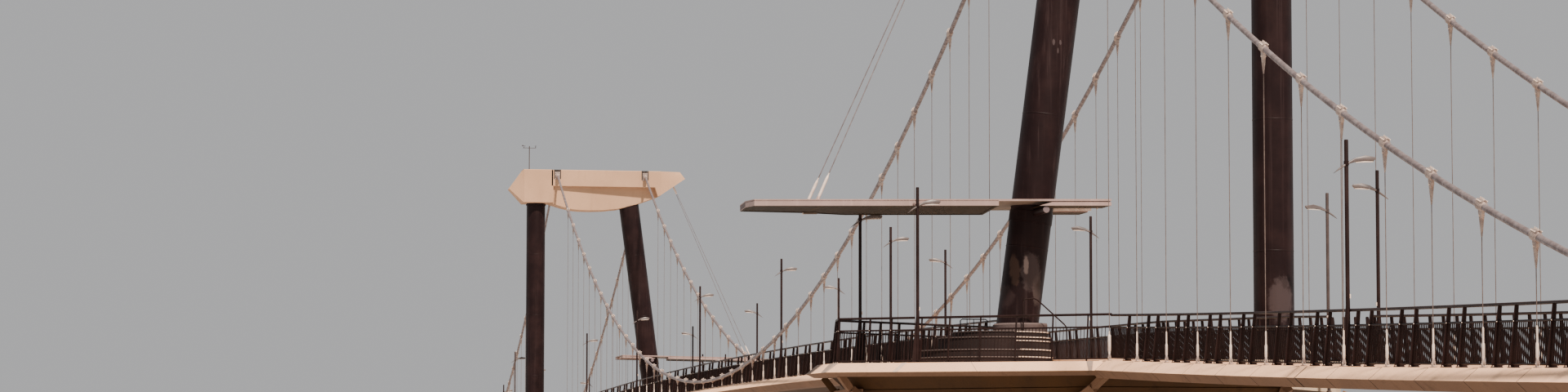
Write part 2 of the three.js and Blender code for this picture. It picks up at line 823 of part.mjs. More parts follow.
function lookoutRailing() {
  const parts = [];
  for (const height of RAIL_HEIGHTS) {
    const line = lookoutRailLine(height - RAIL_SIZE / 2);
    for (let i = 0; i < 3; i++) {
      parts.push(bar(line[i].toArray(), line[i + 1].toArray(), RAIL_SIZE / 1.4, 4));
    }
  }
  const feet = lookoutRailLine(0);
  for (let i = 0; i < 3; i++) {
    const along = feet[i + 1].clone().sub(feet[i]);
    const length = along.length();
    along.normalize();
    const inward = new THREE.Vector3(-along.y, along.x, 0);
    const bays = Math.ceil(length / LOOKOUT_POST_BAY);
    for (let j = 0; j <= bays; j++) {
      const reach = POST_INSET + (j * (length - 2 * POST_INSET)) / bays;
      parts.push(post(feet[i].clone().addScaledVector(along, reach), inward));
    }
    if (i !== 1) {
      const lampY = i === 0 ? LOOKOUT_LAMP_BACK_Y : LOOKOUT_LAMP_FRONT_Y;
      const foot = feet[i].clone().lerp(feet[i + 1], (lampY - feet[i].y) / (feet[i + 1].y - feet[i].y));
      parts.push(...lamp(foot, new THREE.Vector3(0, 1, 0), LAMP_HEIGHT));
    }
  }
  return join(...parts);
}

// The lamp that stands on the pier beside the upright leg
function legLamp() {
  const foot = new THREE.Vector3(LEG_LAMP.x, LEG_LAMP.y, PIER_TOP);
  return join(...lamp(foot, new THREE.Vector3(0, -1, 0), LEG_LAMP.top - PIER_TOP, false));
}

// Wind sensor: a thin mast with a cross arm, a vane and a cup head
function windSensor() {
  const { y, base, baseThick, mast, mastRadius, arm, armAt } = SENSOR;
  const foot = HEAD_TOP + CLEARANCE;
  const cupsY = y - SENSOR_CUPS.reach;
  const cups = bar(
    [0, cupsY, foot + SENSOR_CUPS.low],
    [0, cupsY, foot + SENSOR_CUPS.high],
    SENSOR_CUPS.foot,
    6,
    SENSOR_CUPS.top,
  );
  const vane = box(
    -SENSOR_VANE.thick / 2,
    SENSOR_VANE.thick / 2,
    y + SENSOR_VANE.inner,
    y + SENSOR_VANE.outer,
    foot + SENSOR_VANE.low,
    foot + SENSOR_VANE.high,
  );
  return join(
    bar([0, y, foot], [0, y, foot + mast], mastRadius, 6),
    box(-base, base, y - base, y + base, foot, foot + baseThick),
    box(-2, 2, y - arm, y + arm, foot + armAt, foot + armAt + 4),
    cups,
    vane,
  );
}

// One end of the bridge
function bridgeEnd(end, withSensor) {
  const group = new THREE.Group();
  const add = (name, geometry, look) => group.add(piece(name + "_" + end, geometry, look));
  const head = crosshead();
  add("pier", pier(), CONCRETE);
  add("abutment", abutment(), CONCRETE);
  add("deck_tower", towerDeck(), CONCRETE);
  add("deck_side_span", sideDeck(), CONCRETE);
  add("lookout", lookout(), CONCRETE);
  add("leg_upright", uprightLeg(), DARK_STEEL);
  add("leg_leaning", leaningLeg(head), DARK_STEEL);
  add("leg_collar", collar(), CONCRETE);
  add("seat", seat(), CONCRETE);
  add("crosshead", head, HEAD_CONCRETE);
  add("canopy", canopy(), CANOPY_PAINT);
  add("canopy_arm", canopyArm(), DARK_STEEL);
  add("canopy_stay_front", canopyStay(1), CABLE_STEEL);
  add("canopy_stay_back", canopyStay(-1), CABLE_STEEL);
  add("cable_main_left", mainCable(CABLE_Y), CABLE_STEEL);
  add("cable_main_right", mainCable(-CABLE_Y), CABLE_STEEL);
  add("cable_side_left", sideCable(CABLE_Y), CABLE_STEEL);
  add("cable_side_right", sideCable(-CABLE_Y), CABLE_STEEL);
  add(
    "railing_side_left",
    railing(1, -TOWER_DECK + 3, SIDE_SPAN - 8, towerZoneHeight, LEFT_LAMPS),
    RAIL_STEEL,
  );
  add(
    "railing_side_right",
    railing(-1, TOWER_DECK + 3, SIDE_SPAN - 8, deckHeight, RIGHT_LAMPS),
    RAIL_STEEL,
  );
  add("railing_lookout", lookoutRailing(), RAIL_STEEL);
  add("lamp_leg", legLamp(), DARK_STEEL);
  if (withSensor) {
    group.add(piece("wind_sensor", windSensor(), DARK_STEEL));
  }
  return group;
}

// The deck's height along the left side, where the tower's own deck is straight
function towerZoneHeight(x) {
  return x < TOWER_DECK ? towerDeckHeight(x) : deckHeight(x);
}

const bridge = new THREE.Group();
const level = new THREE.Group();
level.position.z = BASE_DEPTH;
bridge.add(level);

const endA = bridgeEnd("a", false);
endA.position.x = HALF_SPAN;
level.add(endA);

const turned = new THREE.Group();
turned.rotation.z = Math.PI;
level.add(turned);
const endB = bridgeEnd("b", true);
endB.position.x = HALF_SPAN;
turned.add(endB);

level.add(piece("deck_main_span", mainDeck(), CONCRETE));
level.add(piece("railing_main_left", mainRailing(1), RAIL_STEEL));
level.add(piece("railing_main_right", mainRailing(-1), RAIL_STEEL));

export default bridge;
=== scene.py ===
# A suspension footbridge as a 1:10 scale model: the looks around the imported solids.
# Shapes are made in millimetres of the model. In each end, x counts from the tower's centre line
# outwards to the abutment, z counts from the deck level at the tower, the right side is -y, and the
# left side is +y. The bridge looks the same after half a turn, so an end's mesh is placed twice.

import math

import bmesh
import bpy
import numpy as np
from mathutils import Matrix, Vector


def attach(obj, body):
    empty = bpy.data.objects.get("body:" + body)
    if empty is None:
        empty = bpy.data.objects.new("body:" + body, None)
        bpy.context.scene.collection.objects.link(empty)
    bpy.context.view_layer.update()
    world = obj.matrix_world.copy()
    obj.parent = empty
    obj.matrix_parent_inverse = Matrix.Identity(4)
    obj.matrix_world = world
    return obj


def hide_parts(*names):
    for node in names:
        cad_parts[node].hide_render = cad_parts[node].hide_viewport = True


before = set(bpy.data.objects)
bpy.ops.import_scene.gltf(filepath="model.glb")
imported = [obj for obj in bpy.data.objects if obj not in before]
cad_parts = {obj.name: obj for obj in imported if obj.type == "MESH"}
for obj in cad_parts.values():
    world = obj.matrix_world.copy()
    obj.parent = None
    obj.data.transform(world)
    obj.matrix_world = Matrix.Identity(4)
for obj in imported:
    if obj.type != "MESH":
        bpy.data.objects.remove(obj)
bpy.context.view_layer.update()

MM = 0.001
HALF_SPAN = 6900
SIDE_SPAN = 5250
BASE_DEPTH = 900

# Deck
DECK_AT_TOWER = -5
DECK_CREST = 77
SIDE_GRADE = 0.0457
SIDE_CURVE = 1.8e-6
DECK_EDGE = 303
FASCIA_OUT = 33
FASCIA_DROP = 28
DECK_DEPTH = 51
SOFFIT_EDGE = 311
SLAB_DEPTH = 22
EDGE_BEAM = 70
TOWER_DECK = 680
WALK_HALF = 262
WALK_RISE = 5
STEP_SLOPE = 4
HAUNCH = 12
JOINT_HALF = 1.5
WIDE_JOINT_HALF = 3.75
JOINT_DEEP = 2.5
MAIN_JOINT = 6000
TOWER_JOINT = 400
SIDE_JOINT = 752
WIDE_JOINT = 2615
DECK_GAP = 0.3
# The looks of the sides of the deck's outline, in its order. The lower bevel and the underside get painted
# shade
DECK_LOOKS = [0, 3, 3, 4, 4, 4, 3, 3, 0, 0, 0, 1, 0, 0]

# Cables and hangers
CABLE_Y = 298
CABLE_RADIUS = 7.5
CABLE_LOW = 110
CABLE_HIGH = 1729
SIDE_CABLE_GRADE = 0.5345
SIDE_CABLE_CURVE = 3.3e-5
HANGER_PITCH = 300
MAIN_FIRST_HANGER = 750
MAIN_HANGERS = 21
SIDE_FIRST_HANGER = 770
SIDE_HANGERS = 15
FULL_HANGER = 160
FITTING_TOP = 84
FITTING_LOW = 64
ROD_RADIUS = 1.1
SOCKET_REACH = 20

# Towers
LEG_RADIUS = 62.5
LEANING_RADIUS = 65
UPRIGHT_Y = 433
LEANING_Y = -397
LEAN = 0.1316
HEAD_TOP = 1720
HEAD_HALF = 95
HEAD_REACH = HEAD_HALF + 0.4
KEEL = [
    (-470, 1640), (-385, 1545), (-300, 1514), (-229, 1489), (-170, 1473), (-117, 1461), (-20, 1450),
    (67, 1447), (140, 1448), (196, 1453), (270, 1470), (350, 1495), (350, 1640),
]
KEEL_HALVES = (45, 80)
WELD_HEIGHTS = (330, 740, 1150)
LEG_TOP = 1495
PIER_TOP = -110
STEM_TOP = -410
STEM_HALF = 125
STEM_RIGHT = -640
STEM_LEFT = 520
RIB_HALF = (14, 12)
ABUTMENT_HALF = 400
ANCHOR_INNER = 245
# Each corner of the pier's head: its place at the top and at the bottom
PIER_CORNERS = [
    ((130, -930), (70, -600)), ((640, -310), (100, -590)), ((640, 270), (100, 300)), ((150, 620), (60, 470)),
]

# Lookout, seat and canopy
LOOKOUT_TOP = -29
LOOKOUT_FALL = 0.0125
LOOKOUT_SIDE = ((150, -980), (735, -303))
LOOKOUT_END = 750
LOOKOUT_BACK = -255
LOOKOUT_NOSE = (33, 28)
LOOKOUT_CORE = [
    (111.5, -948, -62), (700, -253, -62), (690, 288, -62),
    (104, -897, -109), (614, -299, -109), (614, 288, -109),
]
LOOKOUT_RIBS = (((130, -930, -110), (138, -963, -67)), ((640, -310, -110), (714, -281, -67)))
# Each mark of the long edge: its reaches along the top and along the nose, and its look. The two mitre marks
# are painted shade, then come a dark joint and a stain
EDGE_MARKS = (
    ((0, 11), (0, 3), 4), ((836, 858), (874, 886), 4), ((460, 461.6), (512, 513.6), 4),
    ((229, 246), (229, 246), 5),
)
# Painted shade at the mitres of the point's short side: its reach along the top and along the nose
APEX_MITRE_SHADE = (95, 75)
COLLAR = (88, -372, 127)
TIERS = [(222, -490, 19), (208, -484, 42), (176, -456, 81), (150, -436, 100)]
# Each lip of the seat with painted sunlight: its tier and its height
SUNLIT_LIPS = ((0, 20), (1, 43), (2, 70), (2, 81), (3, 98))
# Painted sunlight on the lips ends at this y, where the painted shade of the seat begins
SUNLIT_LIMIT_Y = -433
SEAT_RAIL_X = 100
STEP_RAIL = [
    (-390, 71), (-390, 160), (-386, 168), (-356, 171), (-345, 166), (-262, 93), (-255, 84), (-253, -6),
]
BACK_RAIL = [(-541, 69), (-541, 111), (-535, 115), (-462, 115), (-456, 111), (-456, 71)]
CANOPY_Z = 452
CANOPY_FALL = 0.0148
CANOPY_THICK = 20
CANOPY_FRONT = 200
CANOPY_BACK = -197
CANOPY_INNER_Y = -138
CANOPY_OUTER = [(CANOPY_BACK, -885), (-108, -1029), (-40, -1240), (125, -1250), (CANOPY_FRONT, -1235)]
LEG_HOLE = 76
LEG_RIM = 69
ROOF_THICK = 6
WING_DEPTH = CANOPY_THICK - ROOF_THICK / 2
SOFFIT_SEAMS = (-1024, -805, -625)
ARM_RADIUS = 10.5
ARM_HALF = 195
ARM_END_Y = -406
ARM_GAP = 11.3
STAY_FOOT = (95, -1027)
STAY_HEAD = (18, -505, 1624)

# Railings and lamps
RAIL_HEIGHT = 134
MID_RAIL = 98
LOW_RAIL = 10
# Each rail's height, radius and number of sides
RAILS = ((RAIL_HEIGHT, 3.7, 10), (MID_RAIL, 2.7, 8), (LOW_RAIL, 2.4, 6))
RAIL_FOOT_Y = 280
RAIL_LEAN = 12
POST_PITCH = 100
POST_OFFSETS = (20, 115)
LAMP_ROOM = 22
PICKET_PITCH = 11.5
MISSING_RAIL = (1030, 1420)
# The turned ends beside the missing rail: where, radius, look and points
TURNED_ENDS = (
    (MISSING_RAIL[0], 3.2, 1, [(-6, 0, 0), (4, 0, 0), (10, 0.4, -5), (12, 1, -12)]),
    (MISSING_RAIL[1], 3.7, 0, [(6, 0, 0), (-4, 0, 0), (-9, 0.4, -6), (-10, 1, -14)]),
)
LOOKOUT_RAIL = [(-679, -290), (-120, -938), (30, -957), (679, -290)]
LOOKOUT_RISE = 1.045
LOOKOUT_POSTS = [
    [-830, -767, -695, -625, -555, -485, -415, -345, -310],
    [],
    [-952, -872, -817, -740, -670, -593, -505, -416, -332],
]
LOOKOUT_LAMPS = (-842, None, -751)
BACK_LAMP_CUT = 20
APEX_POSTS = (14, 132)
LAMP_HEIGHT = 527
LAMP_TIP = 10
LAMP_PITCH = 2415
LAMP_FIRST = 4400
MAIN_LAMPS = 5
LEFT_SIDE_LAMPS = [1450, 3860]
RIGHT_SIDE_LAMPS = [2830]
LEG_LAMP = (180, 555, PIER_TOP)
LEG_LAMP_TOP = 500
SENSOR_Y = 480
BLADE = [
    (-31, -69), (-8, -55), (5, -47), (22, -42), (45, -39.5), (65, -40), (71, -33), (68, -29.5),
    (57, -28), (45, -26), (22, -32), (-1, -44.5), (-17, -56),
]


def deck_height(x):
    """Height of the deck's top, x from the tower, negative over the main span."""
    x = np.asarray(x, float)
    u = (HALF_SPAN + x) / HALF_SPAN
    side = DECK_AT_TOWER - SIDE_GRADE * x + SIDE_CURVE * x * x
    return np.where(x > 0, side, DECK_AT_TOWER + DECK_CREST * (1 - u * u))


def main_deck_height(middle_x):
    return deck_height(np.abs(np.asarray(middle_x, float)) - HALF_SPAN)


def tower_deck_height(x):
    start, end = deck_height(-TOWER_DECK), deck_height(TOWER_DECK)
    return start + (end - start) * (np.asarray(x, float) + TOWER_DECK) / (2 * TOWER_DECK)


def side_zone_height(x):
    x = np.asarray(x, float)
    return np.where(x < TOWER_DECK, tower_deck_height(x), deck_height(x))


def main_cable_height(x):
    u = (HALF_SPAN + np.asarray(x, float)) / HALF_SPAN
    return CABLE_LOW + (CABLE_HIGH - CABLE_LOW) * u * u


def side_cable_height(x):
    x = np.asarray(x, float)
    return CABLE_HIGH - SIDE_CABLE_GRADE * x + SIDE_CABLE_CURVE * x * x


def unit(v):
    v = np.asarray(v, float)
    return v / np.linalg.norm(v)


def inset(outline, depth):
    """A closed outline in a plane with each side moved inwards, for an outline that turns left."""
    p = np.asarray(outline, float)
    side = np.roll(p, -1, 0) - p
    side /= np.linalg.norm(side, axis=1)[:, None]
    normal = np.stack([-side[:, 1], side[:, 0]], 1)
    before = np.roll(normal, 1, 0)
    share = depth / (1 + (normal * before).sum(1))
    return p + (normal + before) * share[:, None]


def angles(count):
    """Angles spread evenly round a circle."""
    return np.arange(count) * 2 * math.pi / count


def arc(radius, y, turn):
    """The points at some angles of a circle about (0, y)."""
    return [(radius * math.cos(t), y + radius * math.sin(t)) for t in turn]


class Build:
    """Collects points and faces in millimetres, then makes one mesh of them."""

    def __init__(self):
        self.points, self.loops, self.sizes, self.looks = [], [], [], []
        self.count = 0

    def add(self, points, loops, sizes, look):
        points = np.asarray(points, float).reshape(-1, 3)
        self.points.append(points)
        self.loops.append(np.asarray(loops, int).ravel() + self.count)
        self.sizes.append(np.asarray(sizes, int))
        self.looks.append(np.broadcast_to(np.asarray(look, int), len(sizes)))
        self.count += len(points)

    def arrays(self):
        return [np.concatenate(a) for a in (self.points, self.loops, self.sizes, self.looks)]

    def stamp(self, other, origins, bases=None):
        """Places copies of another build: a copy's own x, y, z run along its basis's columns."""
        points, loops, sizes, looks = other.arrays()
        origins = np.asarray(origins, float).reshape(-1, 3)
        many = len(origins)
        if bases is None:
            bases = np.eye(3)
        bases = np.broadcast_to(np.asarray(bases, float), (many, 3, 3))
        placed = np.einsum("mij,nj->mni", bases, points) + origins[:, None, :]
        starts = np.arange(many)[:, None] * len(points)
        self.add(placed, loops[None, :] + starts, np.tile(sizes, many), np.tile(looks, many))

    def loft(self, rings, look=0, caps=(True, True), closed=False):
        """Joins rings that have the same number of points."""
        rings = np.asarray(rings, float)
        k, n = rings.shape[:2]
        i = np.arange(k if closed else k - 1)[:, None]
        j = np.arange(n)[None, :]
        near, far = i * n, ((i + 1) % k) * n
        quads = np.stack([near + j, near + (j + 1) % n, far + (j + 1) % n, far + j], -1)
        loops = [quads.ravel()]
        sizes = [np.full(quads.shape[0] * quads.shape[1], 4)]
        if not closed and caps[0]:
            loops.append(np.arange(n)[::-1])
            sizes.append([n])
        if not closed and caps[1]:
            loops.append(np.arange(n) + (k - 1) * n)
            sizes.append([n])
        self.add(rings, np.concatenate(loops), np.concatenate(sizes), look)

    def levels(self, plans, look=0, closed=False):
        """Joins outlines in x and y, each at its own height."""
        self.loft([[(x, y, z) for x, y in plan] for plan, z in plans], look, closed=closed)

    def slab(self, outline, z0, z1, chamfer=0, look=0):
        """A plate with an outline in x and y that turns left, from z0 to z1."""
        steps = [(0, z0), (0, z1)]
        if chamfer:
            steps = [(chamfer, z0), (0, z0 + chamfer), (0, z1 - chamfer), (chamfer, z1)]
        self.levels([(inset(outline, depth), z) for depth, z in steps], look)

    def across(self, outline, x0, x1, chamfer=0, look=0):
        """A plate with an outline in y and z that turns left, from x0 to x1."""
        part = Build()
        part.slab(outline, x0, x1, chamfer, look)
        self.stamp(part, [0, 0, 0], [[0, 0, 1], [1, 0, 0], [0, 1, 0]])

    def sideways(self, outline, y0, y1, chamfer=0, look=0):
        """A plate with an outline in x and z that turns left, from y0 to y1."""
        part = Build()
        part.slab(outline, -y1, -y0, chamfer, look)
        self.stamp(part, [0, 0, 0], [[1, 0, 0], [0, 0, -1], [0, 1, 0]])

    def box(self, low, high, look=0, chamfer=0):
        (x0, y0, z0), (x1, y1, z1) = low, high
        self.slab([(x0, y0), (x1, y0), (x1, y1), (x0, y1)], z0, z1, chamfer, look)

    def taper(self, half, bands, caps=(True, True)):
        """An upright plate with a half thickness in x, and the ends of its y at some heights."""
        self.loft([[(-half, a, z), (half, a, z), (half, b, z), (-half, b, z)] for a, b, z in bands], 0, caps)

    def tube(self, path, radius, sides=8, look=0):
        path = np.asarray(path, float)
        along = np.gradient(path, axis=0)
        along /= np.linalg.norm(along, axis=1)[:, None]
        guess = np.array([0, 0, 1.0]) if abs(along[0][2]) < 0.9 else np.array([0, 1.0, 0])
        turn = angles(sides) + math.pi / sides
        rings = []
        for point, tangent in zip(path, along):
            guess = unit(guess - tangent * guess.dot(tangent))
            across = np.cross(tangent, guess)
            rings.append(point + radius * (np.outer(np.cos(turn), guess) + np.outer(np.sin(turn), across)))
        self.loft(rings, look)

    def lathe(self, profile, origin=(0, 0, 0), axis=(0, 0, 1), sides=12, look=0):
        """Turns a profile of radius and height about an axis."""
        axis = unit(axis)
        guess = np.array([1.0, 0, 0]) if abs(axis[0]) < 0.9 else np.array([0, 1.0, 0])
        u = unit(guess - axis * guess.dot(axis))
        v = np.cross(axis, u)
        turn = angles(sides)
        circle = np.outer(np.cos(turn), u) + np.outer(np.sin(turn), v)
        self.loft([np.asarray(origin) + axis * h + circle * r for r, h in profile], look)

    def bolt(self, spot, nut, thread, axis=(0, 0, 1)):
        """A nut and the end of its thread, each with a radius and a height."""
        self.lathe([(nut[0], 0), nut, (thread[0], nut[1]), thread], spot, axis, 6, 1)

    def hull(self, points, look=0):
        """The convex hull of some points, as a closed shell."""
        shell = bmesh.new()
        for point in points:
            shell.verts.new(point)
        made = bmesh.ops.convex_hull(shell, input=shell.verts)
        loose = [v for v in made["geom_interior"] + made["geom_unused"] if isinstance(v, bmesh.types.BMVert)]
        bmesh.ops.delete(shell, geom=loose, context="VERTS")
        shell.verts.index_update()
        faces = [[v.index for v in face.verts] for face in shell.faces]
        self.add([v.co[:] for v in shell.verts], np.concatenate(faces), [len(f) for f in faces], look)
        shell.free()


def placed(name, data):
    """A new object in the scene."""
    thing = bpy.data.objects.new(name, data)
    bpy.context.scene.collection.objects.link(thing)
    return thing


def shown(build, name, looks, nodes, middle=False, ends="ab", smooth=40):
    """Makes the mesh once, and places it at each end, where it stands for that end's nodes."""
    points, loops, sizes, face_looks = build.arrays()
    points = (points + [0 if middle else HALF_SPAN, 0, BASE_DEPTH]) * MM
    mesh = bpy.data.meshes.new(name)
    mesh.vertices.add(len(points))
    mesh.vertices.foreach_set("co", points.ravel())
    mesh.loops.add(len(loops))
    mesh.loops.foreach_set("vertex_index", loops)
    mesh.polygons.add(len(sizes))
    mesh.polygons.foreach_set("loop_start", np.concatenate([[0], np.cumsum(sizes)[:-1]]))
    mesh.polygons.foreach_set("material_index", face_looks)
    mesh.update(calc_edges=True)
    mesh.validate()
    shell = bmesh.new()
    shell.from_mesh(mesh)
    bmesh.ops.recalc_face_normals(shell, faces=shell.faces)
    shell.to_mesh(mesh)
    shell.free()
    mesh.shade_smooth()
    mesh.set_sharp_from_angle(angle=math.radians(smooth))
    for look in looks:
        mesh.materials.append(look)
    for end in ["middle"] if middle else ends:
        piece = placed(name if middle else f"{name}_{end}", mesh)
        if end == "b":
            piece.rotation_euler[2] = math.pi
        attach(piece, "root")
        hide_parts(*[node if middle else f"{node}_{end}" for node in nodes])


# Materials


class Look:
    """A procedural material, with its patterns in the object's own coordinates."""

    def __init__(self, name, roughness=0.6, metallic=0.0, specular=0.5):
        self.material = bpy.data.materials.new(name)
        self.material.use_nodes = True
        self.tree = self.material.node_tree
        self.shader = self.tree.nodes["Principled BSDF"]
        self.shader.inputs["Roughness"].default_value = roughness
        self.shader.inputs["Metallic"].default_value = metallic
        self.shader.inputs["Specular IOR Level"].default_value = specular
        self.place = self.tree.nodes.new("ShaderNodeTexCoord").outputs["Object"]

    def put(self, socket, value):
        if isinstance(value, bpy.types.NodeSocket):
            self.tree.links.new(value, socket)
        else:
            socket.default_value = value

    def node(self, kind, inputs, output=0, **settings):
        node = self.tree.nodes.new("ShaderNode" + kind)
        for key, value in settings.items():
            setattr(node, key, value)
        for key, value in inputs.items():
            self.put(node.inputs[key], value)
        return node.outputs[output]

    def noise(self, scale, detail=3, rough=0.55, stretch=(1, 1, 1), move=(0, 0, 0)):
        place = self.node("Mapping", {"Vector": self.place, "Scale": stretch, "Location": move})
        inputs = {"Vector": place, "Scale": scale, "Detail": detail, "Roughness": rough}
        return self.node("TexNoise", inputs)

    def boards(self, scale):
        inputs = {"Vector": self.place, "Scale": scale, "Distortion": 0.3, "Detail Scale": 3.0}
        return self.node("TexWave", inputs, 1, bands_direction="Z")

    def steps(self, value, low, high, to=(0, 1)):
        inputs = {"Value": value, "From Min": low, "From Max": high, "To Min": to[0], "To Max": to[1]}
        return self.node("MapRange", inputs, interpolation_type="SMOOTHSTEP")

    def maths(self, operation, a, b):
        return self.node("Math", {0: a, 1: b}, operation=operation)

    def mix(self, share, a, b):
        node = self.tree.nodes.new("ShaderNodeMix")
        node.data_type = "RGBA"
        self.put(node.inputs[0], share)
        for socket, value in ((node.inputs[6], a), (node.inputs[7], b)):
            self.put(socket, value if isinstance(value, bpy.types.NodeSocket) else (*value, 1))
        return node.outputs[2]

    def colour(self, value):
        self.put(self.shader.inputs["Base Color"], value)

    def rough(self, value):
        self.put(self.shader.inputs["Roughness"], value)

    def bump(self, height, distance, strength=1.0):
        inputs = {"Height": height, "Distance": distance, "Strength": strength}
        if self.shader.inputs["Normal"].is_linked:
            inputs["Normal"] = self.shader.inputs["Normal"].links[0].from_socket
        self.put(self.shader.inputs["Normal"], self.node("Bump", inputs))


def concrete(name, light, shade, dark, streak=0.5, boards=0.0):
    look = Look(name, roughness=0.9, specular=0.25)
    broad = look.steps(look.noise(4, 4, 0.6), 0.3, 0.7)
    colour = look.mix(broad, shade, light)
    run = look.noise(9, 5, 0.65, stretch=(3, 3, 0.35))
    colour = look.mix(look.maths("MULTIPLY", look.steps(run, 0.52, 0.72), streak), colour, dark)
    speck = look.noise(160, 3, 0.7)
    colour = look.mix(look.steps(speck, 0.6, 0.75, (0, 0.35)), colour, dark)
    pores = look.steps(look.noise(420, 2, 0.5), 0.62, 0.7, (0, 1))
    colour = look.mix(look.maths("MULTIPLY", pores, 0.5), colour, [v * 0.6 for v in dark])
    look.bump(speck, 0.0006, 0.5)
    if boards:
        lines = look.steps(look.boards(boards), 0.0, 0.12)
        colour = look.mix(look.maths("MULTIPLY", look.maths("SUBTRACT", 1.0, lines), 0.35), colour, dark)
        look.bump(lines, 0.0012, 0.6)
        grain = look.noise(60, 3, 0.6, stretch=(0.4, 0.4, 6))
        look.bump(grain, 0.0006, 0.4)
    look.colour(colour)
    look.rough(look.steps(broad, 0, 1, (0.82, 0.95)))
    return look.material


def painted(name, base, light, roughness=0.42, streak=0.4, specular=0.5):
    look = Look(name, roughness=roughness, specular=specular)
    cloud = look.steps(look.noise(14, 4, 0.6), 0.35, 0.75)
    colour = look.mix(cloud, base, light)
    run = look.steps(look.noise(26, 4, 0.6, stretch=(2, 2, 0.12)), 0.5, 0.75)
    dust = [v * 1.6 + 0.02 for v in light]
    colour = look.mix(look.maths("MULTIPLY", run, streak), colour, dust)
    grain = look.noise(350, 2, 0.6)
    look.bump(grain, 0.0003, 0.4)
    look.colour(colour)
    look.rough(look.steps(run, 0, 1, (roughness, roughness + 0.2)))
    return look.material


def leg_steel(name, base, light, patches):
    """Dark painted pipe: lengthwise runs, and scrubbed patches of a place, half sizes, strength and tint."""
    look = Look(name, roughness=0.5, specular=0.14)
    cloud = look.steps(look.noise(9, 4, 0.6), 0.35, 0.75)
    colour = look.mix(cloud, base, light)
    run = look.steps(look.noise(30, 4, 0.65, stretch=(3, 3, 0.06)), 0.5, 0.8)
    colour = look.mix(look.maths("MULTIPLY", run, 0.5), colour, [v * 1.8 + 0.015 for v in light])
    ragged = look.noise(38, 5, 0.7)
    for (x, y, z), (hx, hy, hz), strength, tint in patches:
        moved = look.node("VectorMath", {0: look.place, 1: (x, y, z)}, operation="SUBTRACT")
        sized = look.node("VectorMath", {0: moved, 1: (1 / hx, 1 / hy, 1 / hz)}, operation="MULTIPLY")
        far = look.node("VectorMath", {0: sized}, 1, operation="LENGTH")
        edge = look.maths("ADD", far, look.maths("MULTIPLY", ragged, 1.3))
        share = look.steps(edge, 1.35, 1.75, (strength, 0))
        colour = look.mix(share, colour, tint)
    look.bump(look.noise(300, 2, 0.6), 0.0003, 0.4)
    look.colour(colour)
    look.rough(look.steps(run, 0, 1, (0.48, 0.65)))
    return look.material


def galvanized(name, base, light, roughness=0.45, metallic=0.55):
    look = Look(name, roughness=roughness, metallic=metallic, specular=0.5)
    spangle = look.steps(look.noise(55, 4, 0.65), 0.35, 0.7)
    colour = look.mix(spangle, base, light)
    dirt = look.steps(look.noise(18, 4, 0.6, move=(3, 1, 2)), 0.55, 0.8, (0, 0.45))
    colour = look.mix(dirt, colour, [v * 0.45 for v in base])
    look.bump(look.noise(260, 3, 0.6), 0.0004, 0.4)
    look.colour(colour)
    look.rough(look.steps(spangle, 0, 1, (roughness + 0.12, roughness - 0.05)))
    return look.material


DECK_CONCRETE = concrete("deck_concrete", (0.9, 0.56, 0.36), (0.82, 0.5, 0.31), (0.38, 0.21, 0.12), 0.25)
# Painted shade: a darker copy of the concrete for lower bevels and ribs, which stand in shade
PAINTED_SHADE_CONCRETE = concrete("painted_shade_concrete", (0.24, 0.13, 0.075), (0.19, 0.1, 0.055), (0.08, 0.04, 0.02), 0.4)
# Deep painted shade: a near-black copy of the concrete for soffits and recessed cores
DEEP_SHADE_CONCRETE = concrete(
    "deep_shade_concrete", (0.085, 0.036, 0.01), (0.055, 0.023, 0.006), (0.03, 0.012, 0.003), 0.5
)
# Painted shade at the mitres, and the dark joint of the long edge
JOINT_AND_SHADE_CONCRETE = concrete("joint_and_shade_concrete", (0.34, 0.25, 0.2), (0.28, 0.2, 0.16), (0.16, 0.11, 0.08), 0.4)
FAINT_CONCRETE = concrete("faint_concrete", (0.62, 0.46, 0.36), (0.54, 0.4, 0.3), (0.3, 0.2, 0.14), 0.4)
WALK_CONCRETE = concrete("walk_concrete", (0.6, 0.46, 0.36), (0.5, 0.38, 0.29), (0.24, 0.17, 0.12), 0.2)
PIER_CONCRETE = concrete("pier_concrete", (0.62, 0.47, 0.34), (0.5, 0.37, 0.26), (0.24, 0.16, 0.1), 0.5, 7.0)
HEAD_CONCRETE = concrete("head_concrete", (0.56, 0.345, 0.215), (0.49, 0.295, 0.18), (0.34, 0.19, 0.11), 0.25)
SEAT_CONCRETE = concrete("seat_concrete", (0.026, 0.016, 0.015), (0.015, 0.009, 0.008), (0.008, 0.004, 0.004))
COLLAR_CONCRETE = concrete(
    "collar_concrete", (0.13, 0.098, 0.094), (0.085, 0.06, 0.057), (0.04, 0.028, 0.025), 0.5
)
# Painted shade on the seat's lips
SHADED_SEAT_EDGE = concrete("shaded_seat_edge", (0.11, 0.085, 0.08), (0.08, 0.06, 0.055), (0.04, 0.03, 0.026), 0.3)
